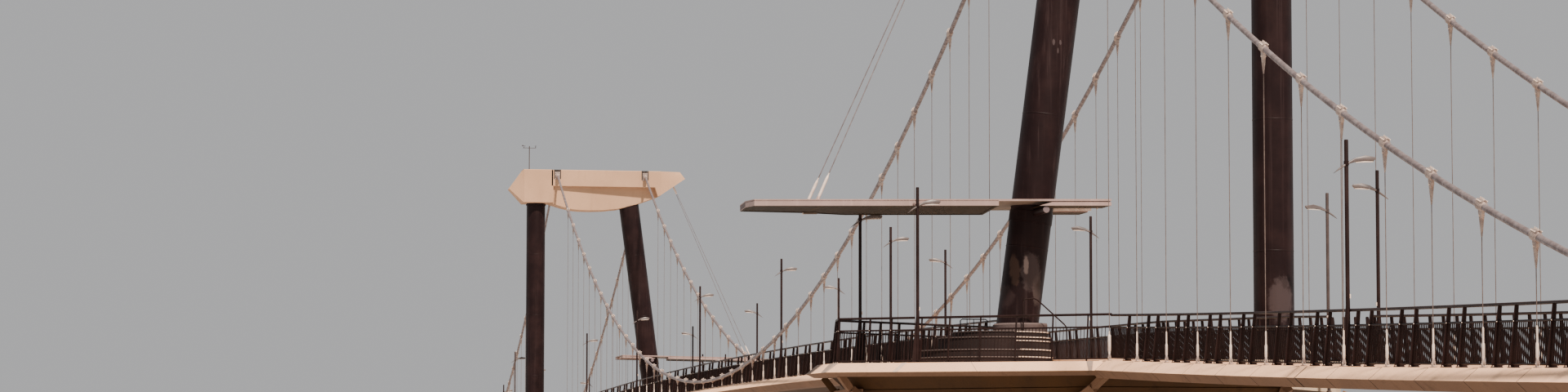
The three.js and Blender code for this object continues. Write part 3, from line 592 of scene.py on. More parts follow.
# Painted sunlight: a bright copy of the lips for the side the light falls on
SUNLIT_SEAT_LIP = concrete("sunlit_seat_lip", (0.8, 0.62, 0.5), (0.7, 0.53, 0.42), (0.4, 0.28, 0.2), 0.2)
LEG_PAINT = leg_steel(
    "leg_paint",
    (0.01, 0.004, 0.0045),
    (0.02, 0.009, 0.009),
    [
        ((6.955, -0.357, 1.155), (0.05, 0.034, 0.06), 0.45, (0.11, 0.085, 0.085)),
        ((6.955, -0.372, 1.173), (0.05, 0.008, 0.028), 0.7, (0.3, 0.24, 0.22)),
        ((6.945, -0.403, 1.156), (0.05, 0.016, 0.05), 0.5, (0.1, 0.06, 0.045)),
        ((6.945, -0.43, 1.08), (0.05, 0.024, 0.038), 0.6, (0.035, 0.022, 0.022)),
        ((6.955, -0.336, 1.097), (0.05, 0.018, 0.045), 0.45, (0.09, 0.07, 0.065)),
        ((6.955, -0.282, 1.861), (0.05, 0.004, 0.01), 0.4, (0.13, 0.1, 0.1)),
        ((6.955, -0.261, 1.861), (0.05, 0.004, 0.01), 0.4, (0.13, 0.1, 0.1)),
        ((6.955, -0.269, 1.836), (0.05, 0.003, 0.01), 0.4, (0.13, 0.1, 0.1)),
        ((6.955, 0.437, 1.075), (0.06, 0.042, 0.075), 0.42, (0.1, 0.075, 0.075)),
        ((6.96, 0.449, 1.125), (0.05, 0.01, 0.016), 0.8, (0.03, 0.02, 0.02)),
    ],
)
RAIL_PAINT = painted("rail_paint", (0.012, 0.005, 0.0045), (0.024, 0.011, 0.01), 0.5, 0.15, 0.15)
BLADE_PAINT = painted("blade_paint", (0.1, 0.08, 0.078), (0.15, 0.125, 0.12), 0.4, 0.2)
TRIM_PAINT = painted("trim_paint", (0.04, 0.026, 0.024), (0.07, 0.05, 0.045), 0.5, 0.2, 0.3)
CABLE_STEEL = galvanized("cable_steel", (0.13, 0.1, 0.1), (0.24, 0.2, 0.2), 0.5, 0.3)
CLAMP_STEEL = galvanized("clamp_steel", (0.28, 0.21, 0.185), (0.44, 0.35, 0.3), 0.5, 0.3)
BRIGHT_STEEL = galvanized("bright_steel", (0.7, 0.56, 0.48), (0.9, 0.76, 0.66), 0.4, 0.15)
ROD_STEEL = galvanized("rod_steel", (0.12, 0.085, 0.075), (0.2, 0.15, 0.13), 0.5, 0.3)
CANOPY_GREY = painted("canopy_grey", (0.32, 0.22, 0.195), (0.38, 0.26, 0.235), 0.55, 0.2)
# Painted shade: a darker copy of the canopy grey for the roof's undersides
ROOF_PAINTED_SHADE = painted("roof_painted_shade", (0.15, 0.11, 0.085), (0.19, 0.14, 0.11), 0.6, 0.2)
# Painted shade: near-black for the canopy's soffit and the inner faces of its frame
SOFFIT_PAINTED_SHADE = painted("soffit_painted_shade", (0.022, 0.012, 0.004), (0.034, 0.019, 0.007), 0.7, 0.2, 0.15)
SEAM_PAINT = painted("seam_paint", (0.06, 0.038, 0.018), (0.075, 0.048, 0.024), 0.7, 0.1, 0.15)
END_PAINT = painted("end_paint", (0.07, 0.035, 0.03), (0.1, 0.055, 0.045), 0.6, 0.1)
PIPE_END = painted("pipe_end", (0.13, 0.095, 0.1), (0.17, 0.13, 0.135), 0.5, 0.1)
LENS = painted("lens", (0.62, 0.56, 0.5), (0.74, 0.7, 0.64), 0.3, 0.1)
SHADOW_GAP = painted("shadow_gap", (0.03, 0.022, 0.018), (0.05, 0.038, 0.03), 0.8, 0.1)
RAIL_LOOKS = [RAIL_PAINT, BRIGHT_STEEL, BLADE_PAINT]


# Deck


def deck_outline(right_edge):
    """The deck's outline across the span. Where its right edge is square, a lookout joins on."""
    inner = SOFFIT_EDGE - EDGE_BEAM
    left = [
        (inner - HAUNCH, -SLAB_DEPTH), (inner, -DECK_DEPTH), (SOFFIT_EDGE, -DECK_DEPTH),
        (DECK_EDGE + FASCIA_OUT, -FASCIA_DROP), (DECK_EDGE, 0),
        (WALK_HALF + STEP_SLOPE, 0), (WALK_HALF, WALK_RISE),
    ]
    right = [(-y, z) for y, z in left[::-1]]
    if not right_edge:
        right[3:5] = [(-DECK_EDGE - 0.01, -FASCIA_DROP), (-DECK_EDGE, -DECK_DEPTH)]
    return right[2:] + left + right[:2]


def deck(x0, x1, joints, height_at, right_edge=True):
    """A length of deck with a sunk joint at each place."""
    full = np.array(deck_outline(right_edge))
    sunk = inset(full, JOINT_DEEP)
    stops = [(x0, full)]
    for x in sorted(joints):
        half = WIDE_JOINT_HALF if x == WIDE_JOINT else JOINT_HALF
        stops += [(x - half, full), (x - half, sunk), (x + half, sunk), (x + half, full)]
    stops.append((x1, full))
    rings = [[(x, y, z + height_at(x)) for y, z in outline] for x, outline in stops]
    looks = np.tile(DECK_LOOKS, (len(rings) - 1, 1))
    in_joint = np.diff([x for x, _ in stops]) < 3 * WIDE_JOINT_HALF
    looks[in_joint, :10] = 2
    build = Build()
    build.loft(rings, np.append(looks.ravel(), [0, 0]))
    return build


def make_decks():
    looks = [DECK_CONCRETE, WALK_CONCRETE, SHADOW_GAP, PAINTED_SHADE_CONCRETE, DEEP_SHADE_CONCRETE]
    start = TOWER_DECK + DECK_GAP
    joints = range(-MAIN_JOINT, MAIN_JOINT + 1, HANGER_PITCH)
    main = deck(start - HALF_SPAN, HALF_SPAN - start, joints, main_deck_height)
    shown(main, "main_deck", looks, ["deck_main_span"], middle=True)
    joints = [SIDE_JOINT + i * HANGER_PITCH for i in range(SIDE_HANGERS + 1)] + [WIDE_JOINT]
    shown(deck(start, SIDE_SPAN, joints, deck_height), "side_deck", looks, ["deck_side_span"])
    joints = range(-TOWER_JOINT, TOWER_JOINT + 1, TOWER_JOINT // 2)
    tower = deck(-TOWER_DECK, TOWER_DECK, joints, tower_deck_height, right_edge=False)
    shown(tower, "tower_deck", looks, ["deck_tower"])


# Lookout platform


def lookout_floor(x):
    """Height of the platform's floor, which falls a little towards the abutment."""
    return LOOKOUT_TOP - 1 - LOOKOUT_FALL * np.asarray(x, float)


def lookout_plan(out):
    """The platform's plan, grown outwards along its slanting sides and its point, turning left."""
    start, end = (np.array(p, float) for p in LOOKOUT_SIDE)
    way = unit(end - start)
    normal = np.array([way[1], -way[0]])
    reach = normal.dot(start) + out
    point_y = start[1] - out
    point_x = (reach - normal[1] * point_y) / normal[0]
    corner_y = (reach - normal[0] * LOOKOUT_END) / normal[1]
    return [
        (-point_x, point_y),
        (point_x, point_y),
        (LOOKOUT_END, corner_y),
        (LOOKOUT_END, LOOKOUT_BACK),
        (-LOOKOUT_END, LOOKOUT_BACK),
        (-LOOKOUT_END, corner_y),
    ]


def edge_band(build, side, top, nose, mirror, look):
    """A thin plate on the sloping edge, between two reaches along its top and two along its nose."""
    out, drop = LOOKOUT_NOSE
    upper, lower = lookout_plan(0), lookout_plan(out)
    a, b = np.array(upper[side]), np.array(upper[side + 1])
    start = np.array(lower[side])
    way = unit(b - a)
    normal = unit([way[1] * drop, -way[0] * drop, out])

    def point(origin, reach, down):
        x, y = origin + way * reach
        x *= mirror
        return np.array([x, y, lookout_floor(x) - down])

    corners = [point(a, reach, 0) for reach in top] + [point(start, reach, drop) for reach in nose[::-1]]
    lift = normal * [mirror, 1, 1]
    build.loft([[c - lift * 0.6 for c in corners], [c + lift * 0.4 for c in corners]], look)


def make_lookout():
    build = Build()
    rings = []
    for out, drop in ((0, 0), LOOKOUT_NOSE, (10, 40)):
        rings.append([(x, y, lookout_floor(x) - drop) for x, y in lookout_plan(out)])
    sides = len(rings[0])
    # The top bevel in the deck's concrete; the lower bevel and the underside in painted shade
    build.loft(rings, [0] * sides + [1] * sides + [2, 1])
    # The core beneath in deep painted shade
    build.hull([(side * x, y, z) for side in (1, -1) for x, y, z in LOOKOUT_CORE], 3)
    for side in (1, -1):
        # Ribs on the slant, which go on from the pier's, in painted shade. The first of the back has deeper
        # painted shade
        for rib in LOOKOUT_RIBS:
            look = 3 if side < 0 and rib is LOOKOUT_RIBS[0] else 1
            build.tube(np.array(rib) * [side, 1, 1], 14, 4, look)
        # Mitres at the corners in painted shade, a dark joint of the long edge, and a stain
        for top, nose, look in EDGE_MARKS:
            edge_band(build, 1, top, nose, side, look)
    # Painted shade at both mitres of the point
    apex = 2 * LOOKOUT_SIDE[0][0]
    nose = lookout_plan(LOOKOUT_NOSE[0])[1][0] * 2
    top, low = APEX_MITRE_SHADE
    edge_band(build, 0, (apex - top, apex), (nose - low, nose), 1, 4)
    edge_band(build, 0, (0, top), (0, low), 1, 4)
    looks = [DECK_CONCRETE, PAINTED_SHADE_CONCRETE, WALK_CONCRETE, DEEP_SHADE_CONCRETE, JOINT_AND_SHADE_CONCRETE, FAINT_CONCRETE]
    shown(build, "lookout_deck", looks, ["lookout"])


# Piers and abutments


def stadium(half, right, left):
    """A long plan with round ends, from its right end to its left one, turning left."""
    turn = np.linspace(0, math.pi, 15)
    return arc(half, left - half, turn) + arc(half, right + half, turn + math.pi)


def stem(grown):
    return stadium(STEM_HALF + grown, STEM_RIGHT - grown, STEM_LEFT + grown)


def make_piers():
    build = Build()
    build.slab(stem(0), -BASE_DEPTH, STEM_TOP + 30)
    build.slab(stem(35), -BASE_DEPTH, -BASE_DEPTH + 70, 6)
    build.slab(stem(6), STEM_TOP + 4, STEM_TOP + 24, 4)
    # The head: a core in deep painted shade set back behind ribs on its edges, which carry painted shade too,
    # with a rim at its point in painted shade
    core, ribs = [], Build()
    for (tx, ty), (bx, by) in PIER_CORNERS:
        for side in (1, -1):
            core.append((side * (tx - 26), ty * 0.965, PIER_TOP - 1))
            core.append((side * (bx - 12), by * 0.98, STEM_TOP))
            high = np.array([side * tx, ty, PIER_TOP - 2])
            low = np.array([side * bx, by, STEM_TOP])
            axis = unit(high - low)
            across = unit(np.cross(axis, [-side * 0.6, ty * -0.001, 0.2]))
            rib = Build()
            wide, deep = RIB_HALF
            rib.box((-wide, -deep, 0), (wide, deep, np.linalg.norm(high - low)), 2)
            ribs.stamp(rib, low, np.column_stack([across, np.cross(across, axis), axis]))
    build.hull(core, 1)
    build.box((-125, -934, PIER_TOP - 6), (125, -890, PIER_TOP + 2), 2)
    build.stamp(ribs, [0, 0, 0])
    build.slab(stadium(118, 345, 640), PIER_TOP - 60, PIER_TOP + 22, 4)
    shown(build, "river_pier", [PIER_CONCRETE, DEEP_SHADE_CONCRETE, PAINTED_SHADE_CONCRETE], ["pier"])


def make_abutments():
    build = Build()
    level = float(deck_height(SIDE_SPAN))
    seat = level - DECK_DEPTH - DECK_GAP
    front, back, face = SIDE_SPAN - 120, SIDE_SPAN + 350, SIDE_SPAN + 3
    wall = [(front, -BASE_DEPTH), (back, -BASE_DEPTH), (back, level), (face, level), (face, seat)]
    wall.append((front, seat))
    build.sideways(wall, -ABUTMENT_HALF, ABUTMENT_HALF, 3)
    anchor = [(face, seat), (back, seat), (back, level + 15), (back - 160, level + 85), (face, level + 85)]
    build.sideways(anchor, -ABUTMENT_HALF, -ANCHOR_INNER, 4)
    build.sideways(anchor, ANCHOR_INNER, ABUTMENT_HALF, 4)
    half = ANCHOR_INNER - 2
    build.box((face, -half, level - 4), (back - 1, half, level + 2), 1, 1)
    build.box((face + 0.2, -half - 1, level - 1), (face + 12, half + 1, level + 3), 2)
    for x in (front + 40, back - 60):
        build.box((x, -ABUTMENT_HALF - 2, -BASE_DEPTH), (x + 2, ABUTMENT_HALF + 2, seat))
    shown(build, "end_abutment", [PIER_CONCRETE, WALK_CONCRETE, TRIM_PAINT], ["abutment"])


# Towers


def leaning_at(z):
    return LEANING_Y + LEAN * z


def weld_rings(build, radius, y_at, axis):
    """Thin rings round a leg, where its lengths are welded together."""
    profile = [(radius + 0.1, -1.6), (radius + 0.7, -0.8), (radius + 0.7, 0.8), (radius + 0.1, 1.6)]
    for z in WELD_HEIGHTS:
        build.lathe(profile, (0, y_at(z), z), axis, 64)


def make_legs():
    upright = Build()
    foot = PIER_TOP + 22.3
    upright.tube([(0, UPRIGHT_Y, foot), (0, UPRIGHT_Y, LEG_TOP - 1)], LEG_RADIUS, 64)
    upright.lathe([(84, 0), (84, 5), (83, 6), (64, 6)], (0, UPRIGHT_Y, foot), sides=48)
    for x, y in arc(74, UPRIGHT_Y, angles(16)):
        upright.bolt((x, y, foot + 6), (3.9, 0.6), (2.6, 7))
    weld_rings(upright, LEG_RADIUS, lambda z: UPRIGHT_Y, (0, 0, 1))
    upright.lathe([(62.6, -6), (67, -5), (67, 4), (62.6, 5)], (0, UPRIGHT_Y, 1486), sides=64)
    shown(upright, "upright_leg", [LEG_PAINT, CLAMP_STEEL], ["leg_upright"])
    leaning = Build()
    low = LOOKOUT_TOP + 110
    bottom, top = (arc(LEANING_RADIUS, leaning_at(z), angles(64)) for z in (low, LEG_TOP))
    # Its top follows the keel's underside
    leaning.loft([[(x, y, low) for x, y in bottom], [(x, y, keel_underside(y) + 2) for x, y in top]])
    weld_rings(leaning, LEANING_RADIUS, leaning_at, (0, LEAN, 1))
    shown(leaning, "leaning_leg", [LEG_PAINT], ["leg_leaning"])


def clipped_disc(radius, y, limit=-DECK_EDGE - 0.4):
    """A disc's outline, cut off along the deck's edge."""
    if y + radius <= limit:
        return arc(radius, y, angles(64))
    cut = math.asin((limit - y) / radius)
    return arc(radius, y, np.linspace(math.pi - cut, 2 * math.pi + cut, 64))


def make_seat():
    collar = Build()
    radius, y, height = COLLAR
    top = LOOKOUT_TOP + height
    steps = ((0, LOOKOUT_TOP + 0.3), (0, top - 5), (5, top), (14, top - 0.3))
    collar.levels([(clipped_disc(radius - depth, y), z) for depth, z in steps])
    shown(collar, "leg_collar_disc", [COLLAR_CONCRETE], ["leg_collar"])
    seat = Build()
    for radius, y, height in TIERS:
        top = LOOKOUT_TOP + height
        body, lip = clipped_disc(radius - 2, y), clipped_disc(radius, y)
        seat.levels([(body, LOOKOUT_TOP - 6), (body, top - 3)])
        # The lip of each tier in painted shade
        seat.levels([(lip, top - 3), (lip, top - 0.6), (clipped_disc(radius - 0.6, y), top)], 2)
    # Painted sunlight: bright lips on the side towards the deck, where the tiers are cut into steps
    for tier, height in SUNLIT_LIPS:
        radius, y, _ = TIERS[tier]
        band = [p for p in clipped_disc(radius + 0.5, y) if p[0] > 0 and p[1] > SUNLIT_LIMIT_Y]
        band += [p for p in clipped_disc(radius - 5, y) if p[0] > 0 and p[1] > SUNLIT_LIMIT_Y][::-1]
        top = LOOKOUT_TOP + height + 0.3
        seat.levels([(band, top - 2.6), (band, top)], 3)
    # Hand rail of the steps beside the collar, and the low rail behind it
    seat.tube([(SEAT_RAIL_X, y, z) for y, z in STEP_RAIL], 2.2, 8, 1)
    seat.tube([(-SEAT_RAIL_X, y, z) for y, z in BACK_RAIL], 1.8, 8, 1)
    for y in (-520, -499, -478):
        seat.tube([(-SEAT_RAIL_X, y, 55), (-SEAT_RAIL_X, y, 114)], 1.2, 6, 1)
    looks = [SEAT_CONCRETE, RAIL_PAINT, SHADED_SEAT_EDGE, SUNLIT_SEAT_LIP]
    shown(seat, "tiered_seat", looks, ["seat"])


def keel_underside(y):
    return np.interp(y, [p[0] for p in KEEL[:-1]], [p[1] for p in KEEL[:-1]])


def keel_face(side, depth, edge):
    """One side of the keel, which is thinner towards its right end."""
    ends = (KEEL[0][0], KEEL[-1][0])
    return [(side * (np.interp(y, ends, KEEL_HALVES) - edge), y, z) for y, z in inset(KEEL, depth)]


def make_crossheads():
    build = Build()
    band = [(-405, 1555), (-385, 1545), (-365, 1608), (340, 1608), (340, HEAD_TOP), (-405, HEAD_TOP)]
    build.across(band, -HEAD_HALF, HEAD_HALF, 3)
    build.loft([keel_face(-1, 3, 0), keel_face(-1, 0, 3), keel_face(1, 0, 3), keel_face(1, 3, 0)])
    build.across([(325, LEG_TOP), (527, LEG_TOP), (527, HEAD_TOP), (325, HEAD_TOP)], -HEAD_HALF, HEAD_HALF, 3)
    # Pointed ends
    wide, tip, top = HEAD_HALF - 0.5, HEAD_HALF - 45, HEAD_TOP - 0.5
    left = [(wide, 525, LEG_TOP + 0.5), (wide, 525, top), (tip, 620, 1590)]
    right = [(wide, -403, 1556), (wide, -403, top), (tip, -542, top), (tip, -578, 1674)]
    for corners in (left, right):
        build.hull([(side * x, y, z) for x, y, z in corners for side in (1, -1)])
    # Saddle boxes let into the top edge
    for y in (-CABLE_Y, CABLE_Y):
        for side in (1, -1):
            x = side * HEAD_HALF
            inner, outer = sorted((x - side * 8, x + side * 1.5))
            build.box((inner, y - 20, HEAD_TOP - 56), (outer, y + 20, HEAD_TOP - 2), 1)
            build.box((inner, y - 24, HEAD_TOP - 62), (outer - 0.6, y + 24, HEAD_TOP + 0.1), 2)
        build.box((-HEAD_HALF + 3, y - 15, HEAD_TOP - 10), (HEAD_HALF - 3, y + 15, HEAD_TOP + 0.2), 2)
    shown(build, "cable_crosshead", [HEAD_CONCRETE, CLAMP_STEEL, SHADOW_GAP], ["crosshead"])


# Canopy


def canopy_underside(y):
    return CANOPY_Z + CANOPY_FALL * y


def wing_frame(build, outline):
    """A folded edge with an upright face and a narrow foot, and a soffit set back in it. Its inner faces, its
    foot and the soffit carry painted shade.
    """
    folds = [(0, 0), (0, WING_DEPTH), (3, WING_DEPTH), (3, 2), (9, 2), (9, 0)]
    looks = np.repeat([0, 0, 1, 1, 1, 1], len(outline))
    build.levels([(inset(outline, depth), z) for depth, z in folds], looks, closed=True)
    build.levels([(inset(outline, 2), z) for z in (2, 6)], 1)


def make_canopy():
    build = Build()
    leg_y = leaning_at(CANOPY_Z + 9)
    high, low = CANOPY_THICK, CANOPY_THICK - ROOF_THICK
    near, far, inner = leg_y + LEG_HOLE, leg_y - LEG_HOLE, CANOPY_INNER_Y
    # Roof sheet in strips round the leg, with painted shade on their undersides
    strips = [
        CANOPY_OUTER + [(CANOPY_FRONT, far), (CANOPY_BACK, far)],
        [(CANOPY_BACK, far), (-LEG_HOLE, far), (-LEG_HOLE, near), (CANOPY_BACK, near)],
        [(LEG_HOLE, far), (CANOPY_FRONT, far), (CANOPY_FRONT, near), (LEG_HOLE, near)],
        [(CANOPY_BACK, near), (CANOPY_FRONT, near), (CANOPY_FRONT, inner), (CANOPY_BACK, inner)],
    ]
    for strip in strips:
        build.levels([(strip, low), (strip, high)], [0] * len(strip) + [2, 0])
    turn = angles(32)
    reach = LEG_HOLE / np.maximum(abs(np.cos(turn)), abs(np.sin(turn)))
    rim = np.column_stack([reach * np.cos(turn), leg_y + reach * np.sin(turn)])
    circle = arc(LEG_RIM, leg_y, turn)
    looks = np.repeat([0, 0, 2, 2], len(rim))
    build.levels([(rim, high), (circle, high), (circle, low), (rim, low)], looks, closed=True)
    # Outer wing: an edge frame that hangs below a set-back soffit in painted shade with lighter seams
    wing_frame(build, CANOPY_OUTER + [(CANOPY_FRONT, -488), (CANOPY_BACK, -448)])
    for y in SOFFIT_SEAMS:
        x = CANOPY_BACK if y > CANOPY_OUTER[0][1] else CANOPY_OUTER[1][0]
        build.box((x + 4, y, 1.5), (CANOPY_FRONT - 4, y + 3, 4), 3)
    # A dark panel in the light rim of its outer end
    (x0, y0), (x1, y1) = CANOPY_OUTER[2], CANOPY_OUTER[3]
    panel = [(x0 + 12, y0 - 1.4), (x1 - 8, y1 - 0.4), (x1 - 8, y1 + 2), (x0 + 12, y0 + 2)]
    build.slab(panel, 2.5, 15.5, 0, 4)
    # Beams beside the leg, under a shadow line, with a slanted end and painted shade on their undersides, and
    # a bright rib between them
    for inside, outside in ((85, CANOPY_FRONT - 1), (-85, CANOPY_BACK + 1)):
        x0, x1 = sorted((inside, outside))
        rings = []
        for y, z in ((-362, 0), (-322, 11)):
            rings.append([(x0, y, z), (x1, y, z), (x1, inner, z), (x0, inner, z)])
        build.loft(rings, [0, 0, 0, 0, 1, 1])
        build.box((x0 + 3, -318, 10), (x1 - 3, inner - 3, 15), 4)
    build.box((-45, -270, 1.5), (-30, -141, 9.5), 5)
    # Small brackets at the inner end and at the cut corner
    build.box((96, -158, -3), (100, -154, 0.5), 5)
    build.box((-104, -1034, -4), (-92, -992, 0.2), 2)
    build.box((-102, -1037, -5), (-94, -1031, 0.4), 5)
    roof = Build()
    roof.stamp(build, [0, 0, CANOPY_Z], [[1, 0, 0], [0, 1, 0], [0, CANOPY_FALL, 1]])
    looks = [CANOPY_GREY, SOFFIT_PAINTED_SHADE, ROOF_PAINTED_SHADE, SEAM_PAINT, END_PAINT, BRIGHT_STEEL]
    shown(roof, "canopy_roof", looks, ["canopy"])


def make_canopy_arm():
    build = Build()
    y = leaning_at(CANOPY_Z - 17)
    z = canopy_underside(y) - ARM_GAP
    end = (0, ARM_END_Y, canopy_underside(ARM_END_Y) - ARM_GAP)
    build.tube([end, (0, y, z)], ARM_RADIUS, 20)
    axis = unit([0, LEAN, 1])
    low = z - 30
    build.lathe([(65, 0), (67, 1), (67, 34), (65, 35)], (0, leaning_at(low), low), axis, 48)
    build.tube([(-ARM_HALF, y, z), (ARM_HALF, y, z)], ARM_RADIUS, 20)
    for side in (1, -1):
        cap = [(ARM_RADIUS, 0), (9.6, 0.8), (8.8, 0.8)]
        build.lathe(cap, (side * (ARM_HALF - 0.2), y, z), (side, 0, 0), 20, 1)
    shown(build, "canopy_pipe_arm", [LEG_PAINT, PIPE_END], ["canopy_arm"])


def make_canopy_stays():
    looks = [CANOPY_GREY, BRIGHT_STEEL, CABLE_STEEL]
    for name, front in (("front", 1), ("back", -1)):
        build = Build()
        x, y = STAY_FOOT
        foot = np.array([front * x, y, canopy_underside(y) + CANOPY_THICK + 0.4])
        head = np.array(STAY_HEAD) * [front, 1, 1]
        axis = unit(head - foot)
        length = np.linalg.norm(head - foot)
        build.box(foot - [12, 9, 0], foot + [12, 9, 2], 0, 0.5)
        for side in (1, -1):
            cheek = Build()
            cheek.slab([(-6, 0), (6, 0), (4, 16), (-4, 16)], side * 3 - 1, side * 3 + 1, 0.3)
            build.stamp(cheek, foot, np.column_stack([unit(np.cross([1, 0, 0], axis)), axis, [1, 0, 0]]))
        build.lathe([(1.8, -6), (1.8, 6)], foot + axis * 10, (1, 0, 0), 8, 1)
        socket = [(2, 6), (4.2, 12), (4.6, 20), (4.6, 74), (3.6, 84), (1.7, 90), (1.6, 96)]
        build.lathe(socket, foot, axis, 12, 1)
        build.lathe([(1.5, 90), (1.5, length - 50)], foot, axis, 8, 2)
        tip = [(1.6, length - 56), (3.2, length - 46), (3.6, length - 12), (2.6, length - 3), (2.6, length)]
        build.lathe(tip, foot, axis, 12, 1)
        shown(build, "canopy_rod_" + name, looks, ["canopy_stay_" + name])


# Cables and hangers


def clamp():
    """A cable clamp: a cast collar, a crown of bolts on top and side ears. It lies along its own x."""
    build = Build()
    profile = [(8, -18), (9.4, -17), (9.4, -13), (10.8, -11.5), (10.8, 11.5), (9.4, 13), (9.4, 17), (8, 18)]
    build.lathe(profile, axis=(1, 0, 0), sides=16)
    for side in (1, -1):
        build.sideways([(-15, 7), (15, 7), (15, 14), (-15, 14)], side * 4.5 - 1.5, side * 4.5 + 1.5, 0.5)
        for x in (-10.5, -3.5, 3.5, 10.5):
            build.bolt((x, side * 6, 11), (2.1, 1.7), (1.1, 3.4), (0, side, 0.25))
    for x in (-9, 0, 9):
        build.bolt((x, 0, 13), (2.2, 2), (1.2, 5))
    return build


def hang_fitting():
    """Under the clamp: a gusset with ears, a pin, and a conical socket. z = 0 is the cable's centre."""
    build = Build()
    gusset = [(-4.5, -30), (4.5, -30), (11, -10), (9, -5), (-9, -5), (-11, -10)]
    build.sideways(gusset, -4, 4, 0.8)
    build.box((-14, -2, -15), (-8, 2, -9))
    build.lathe([(2.2, -6.5), (2.2, 6.5)], (0, 0, -20), (0, 1, 0), 8, 1)
    build.lathe([(5, -24), (5, -30), (4, -42), (2, -60), (1.6, -64)], sides=10)
    return build


def foot_fitting():
    """On the deck's edge, z = 0: a plate, a fork with its pin, and a turnbuckle under a sleeve."""
    build = Build()
    build.box((-11, -5, 0.3), (11, 5, 2), 0, 0.4)
    for x in (-8, 8):
        build.bolt((x, 0, 2), (1.9, 1.4), (1.1, 2.6))
    for side in (1, -1):
        build.sideways([(-4, 2), (4, 2), (3, 14), (-3, 14)], side * 2.6 - 0.9, side * 2.6 + 0.9, 0.3)
    build.lathe([(1.5, -4.4), (1.5, 4.4)], (0, 0, 8), (0, 1, 0), 8, 1)
    build.lathe([(2, 6), (3.6, 11), (3.6, 17), (2.4, 19)], sides=8)
    build.lathe([(2.4, 18), (3.3, 21), (3.3, 47), (2.4, 51)], sides=10, look=1)
    build.lathe([(2.1, 50), (2.1, 80), (1.4, 84)], sides=8, look=1)
    return build


def stretched(shares):
    """Bases that stretch only z, each by its own share."""
    bases = np.tile(np.eye(3), (len(shares), 1, 1))
    bases[:, 2, 2] = shares
    return bases


def hangers(build, spots, y, cable_at):
    """Hangers at some places, with shorter fittings where the cable comes near the deck."""
    spots = np.asarray(spots, float)
    foot, cable = deck_height(spots), cable_at(spots)
    squeeze = np.minimum(1, (cable - foot) / FULL_HANGER)
    places = np.column_stack([spots, np.full(len(spots), y), foot])
    build.stamp(foot_fitting(), places, stretched(squeeze))
    places[:, 2] = cable
    build.stamp(hang_fitting(), places, stretched(squeeze))
    slope = (cable_at(spots + 1) - cable_at(spots - 1)) / 2
    run = 1 / np.sqrt(1 + slope * slope)
    tilt = stretched(run)
    tilt[:, 0, 0] = run
    tilt[:, 2, 0] = slope * run
    tilt[:, 0, 2] = -slope * run
    build.stamp(clamp(), places, tilt)
    rod = Build()
    rod.lathe([(ROD_RADIUS, 0), (ROD_RADIUS, 1)], sides=8, look=2)
    bottom = foot + FITTING_TOP * squeeze - 2
    top = cable - FITTING_LOW * squeeze + 2
    places[:, 2] = bottom
    build.stamp(rod, places, stretched(top - bottom))


def cable_end(build, centre, slope, side):
    """The cable's end at the crosshead: a face plate with its bolts, and a tapered socket."""
    x, y, z = centre
    plate = x + side * 3
    low, high = sorted((x, plate))
    build.box((low, y - 17, z - 26), (high, y + 17, z + 26))
    for dy in (-12, 12):
        for dz in (-20, -7, 7, 20):
            build.bolt((plate, y + dy, z + dz), (2.4, 1.8), (1.4, 3.6), (side, 0, 0))
    socket = [(14, 0), (14, 8), (12.5, 12), (12.5, 26), (10, 34), (7.8, 44)]
    build.lathe(socket, centre, (side, 0, side * slope), 20)


def cable(xs, y, height_at, spots, side):
    """A cable through some places, with its hangers and its end on one side of the crosshead."""
    build = Build()
    build.tube(np.column_stack([xs, np.full(len(xs), y), height_at(xs)]), CABLE_RADIUS, 16, 3)
    hangers(build, spots, y, height_at)
    face = side * HEAD_REACH
    slope = float(height_at(face + side * 10) - height_at(face)) * side / 10
    cable_end(build, (face, y, float(height_at(face + side * SOCKET_REACH)) + 4), slope, side)
    return build


def make_cables():
    looks = [CLAMP_STEEL, BRIGHT_STEEL, ROD_STEEL, CABLE_STEEL]
    near = HEAD_REACH + SOCKET_REACH
    for name, y in (("left", CABLE_Y), ("right", -CABLE_Y)):
        spots = [-MAIN_FIRST_HANGER - i * HANGER_PITCH for i in range(MAIN_HANGERS)]
        main = cable(np.linspace(-HALF_SPAN + 0.15, -near, 76), y, main_cable_height, spots, -1)
        shown(main, "main_cable_" + name, looks, ["cable_main_" + name], smooth=50)
        spots = [SIDE_FIRST_HANGER + i * HANGER_PITCH for i in range(SIDE_HANGERS)]
        side = cable(np.linspace(near, SIDE_SPAN - 0.5, 56), y, side_cable_height, spots, 1)
        # The first hanger has a thicker turnbuckle
        first = (SIDE_FIRST_HANGER, y, float(deck_height(SIDE_FIRST_HANGER)))
        side.lathe([(3, 26), (4.5, 29), (4.5, 71), (3, 74)], first, look=1)
        # Socket at the anchor block
        end = (SIDE_SPAN + 2, y, float(side_cable_height(SIDE_SPAN)))
        slope = float(side_cable_height(SIDE_SPAN) - side_cable_height(SIDE_SPAN - 10)) / 10
        side.lathe([(15, 0), (15, 6), (11, 9), (11, 34), (8, 42)], end, (-1, 0, -slope), 20)
        shown(side, "side_cable_" + name, looks, ["cable_side_" + name], smooth=50)


# Railings and lamps


def lean_at(height):
    return RAIL_LEAN * height / RAIL_HEIGHT


def plate_post(foot=17, head=9, thick=1.6, high=RAIL_HEIGHT - 5):
    """A tapered post plate. Its own x runs along the railing, y inwards and z up."""
    build = Build()
    bands = []
    for z, depth in ((0.3, foot), (9, foot), (16, foot * 0.9), (high - 3, head), (high, head - 3)):
        bands.append((lean_at(z) - depth / 2, lean_at(z) + depth / 2, z))
    build.taper(thick / 2, bands)
    return build


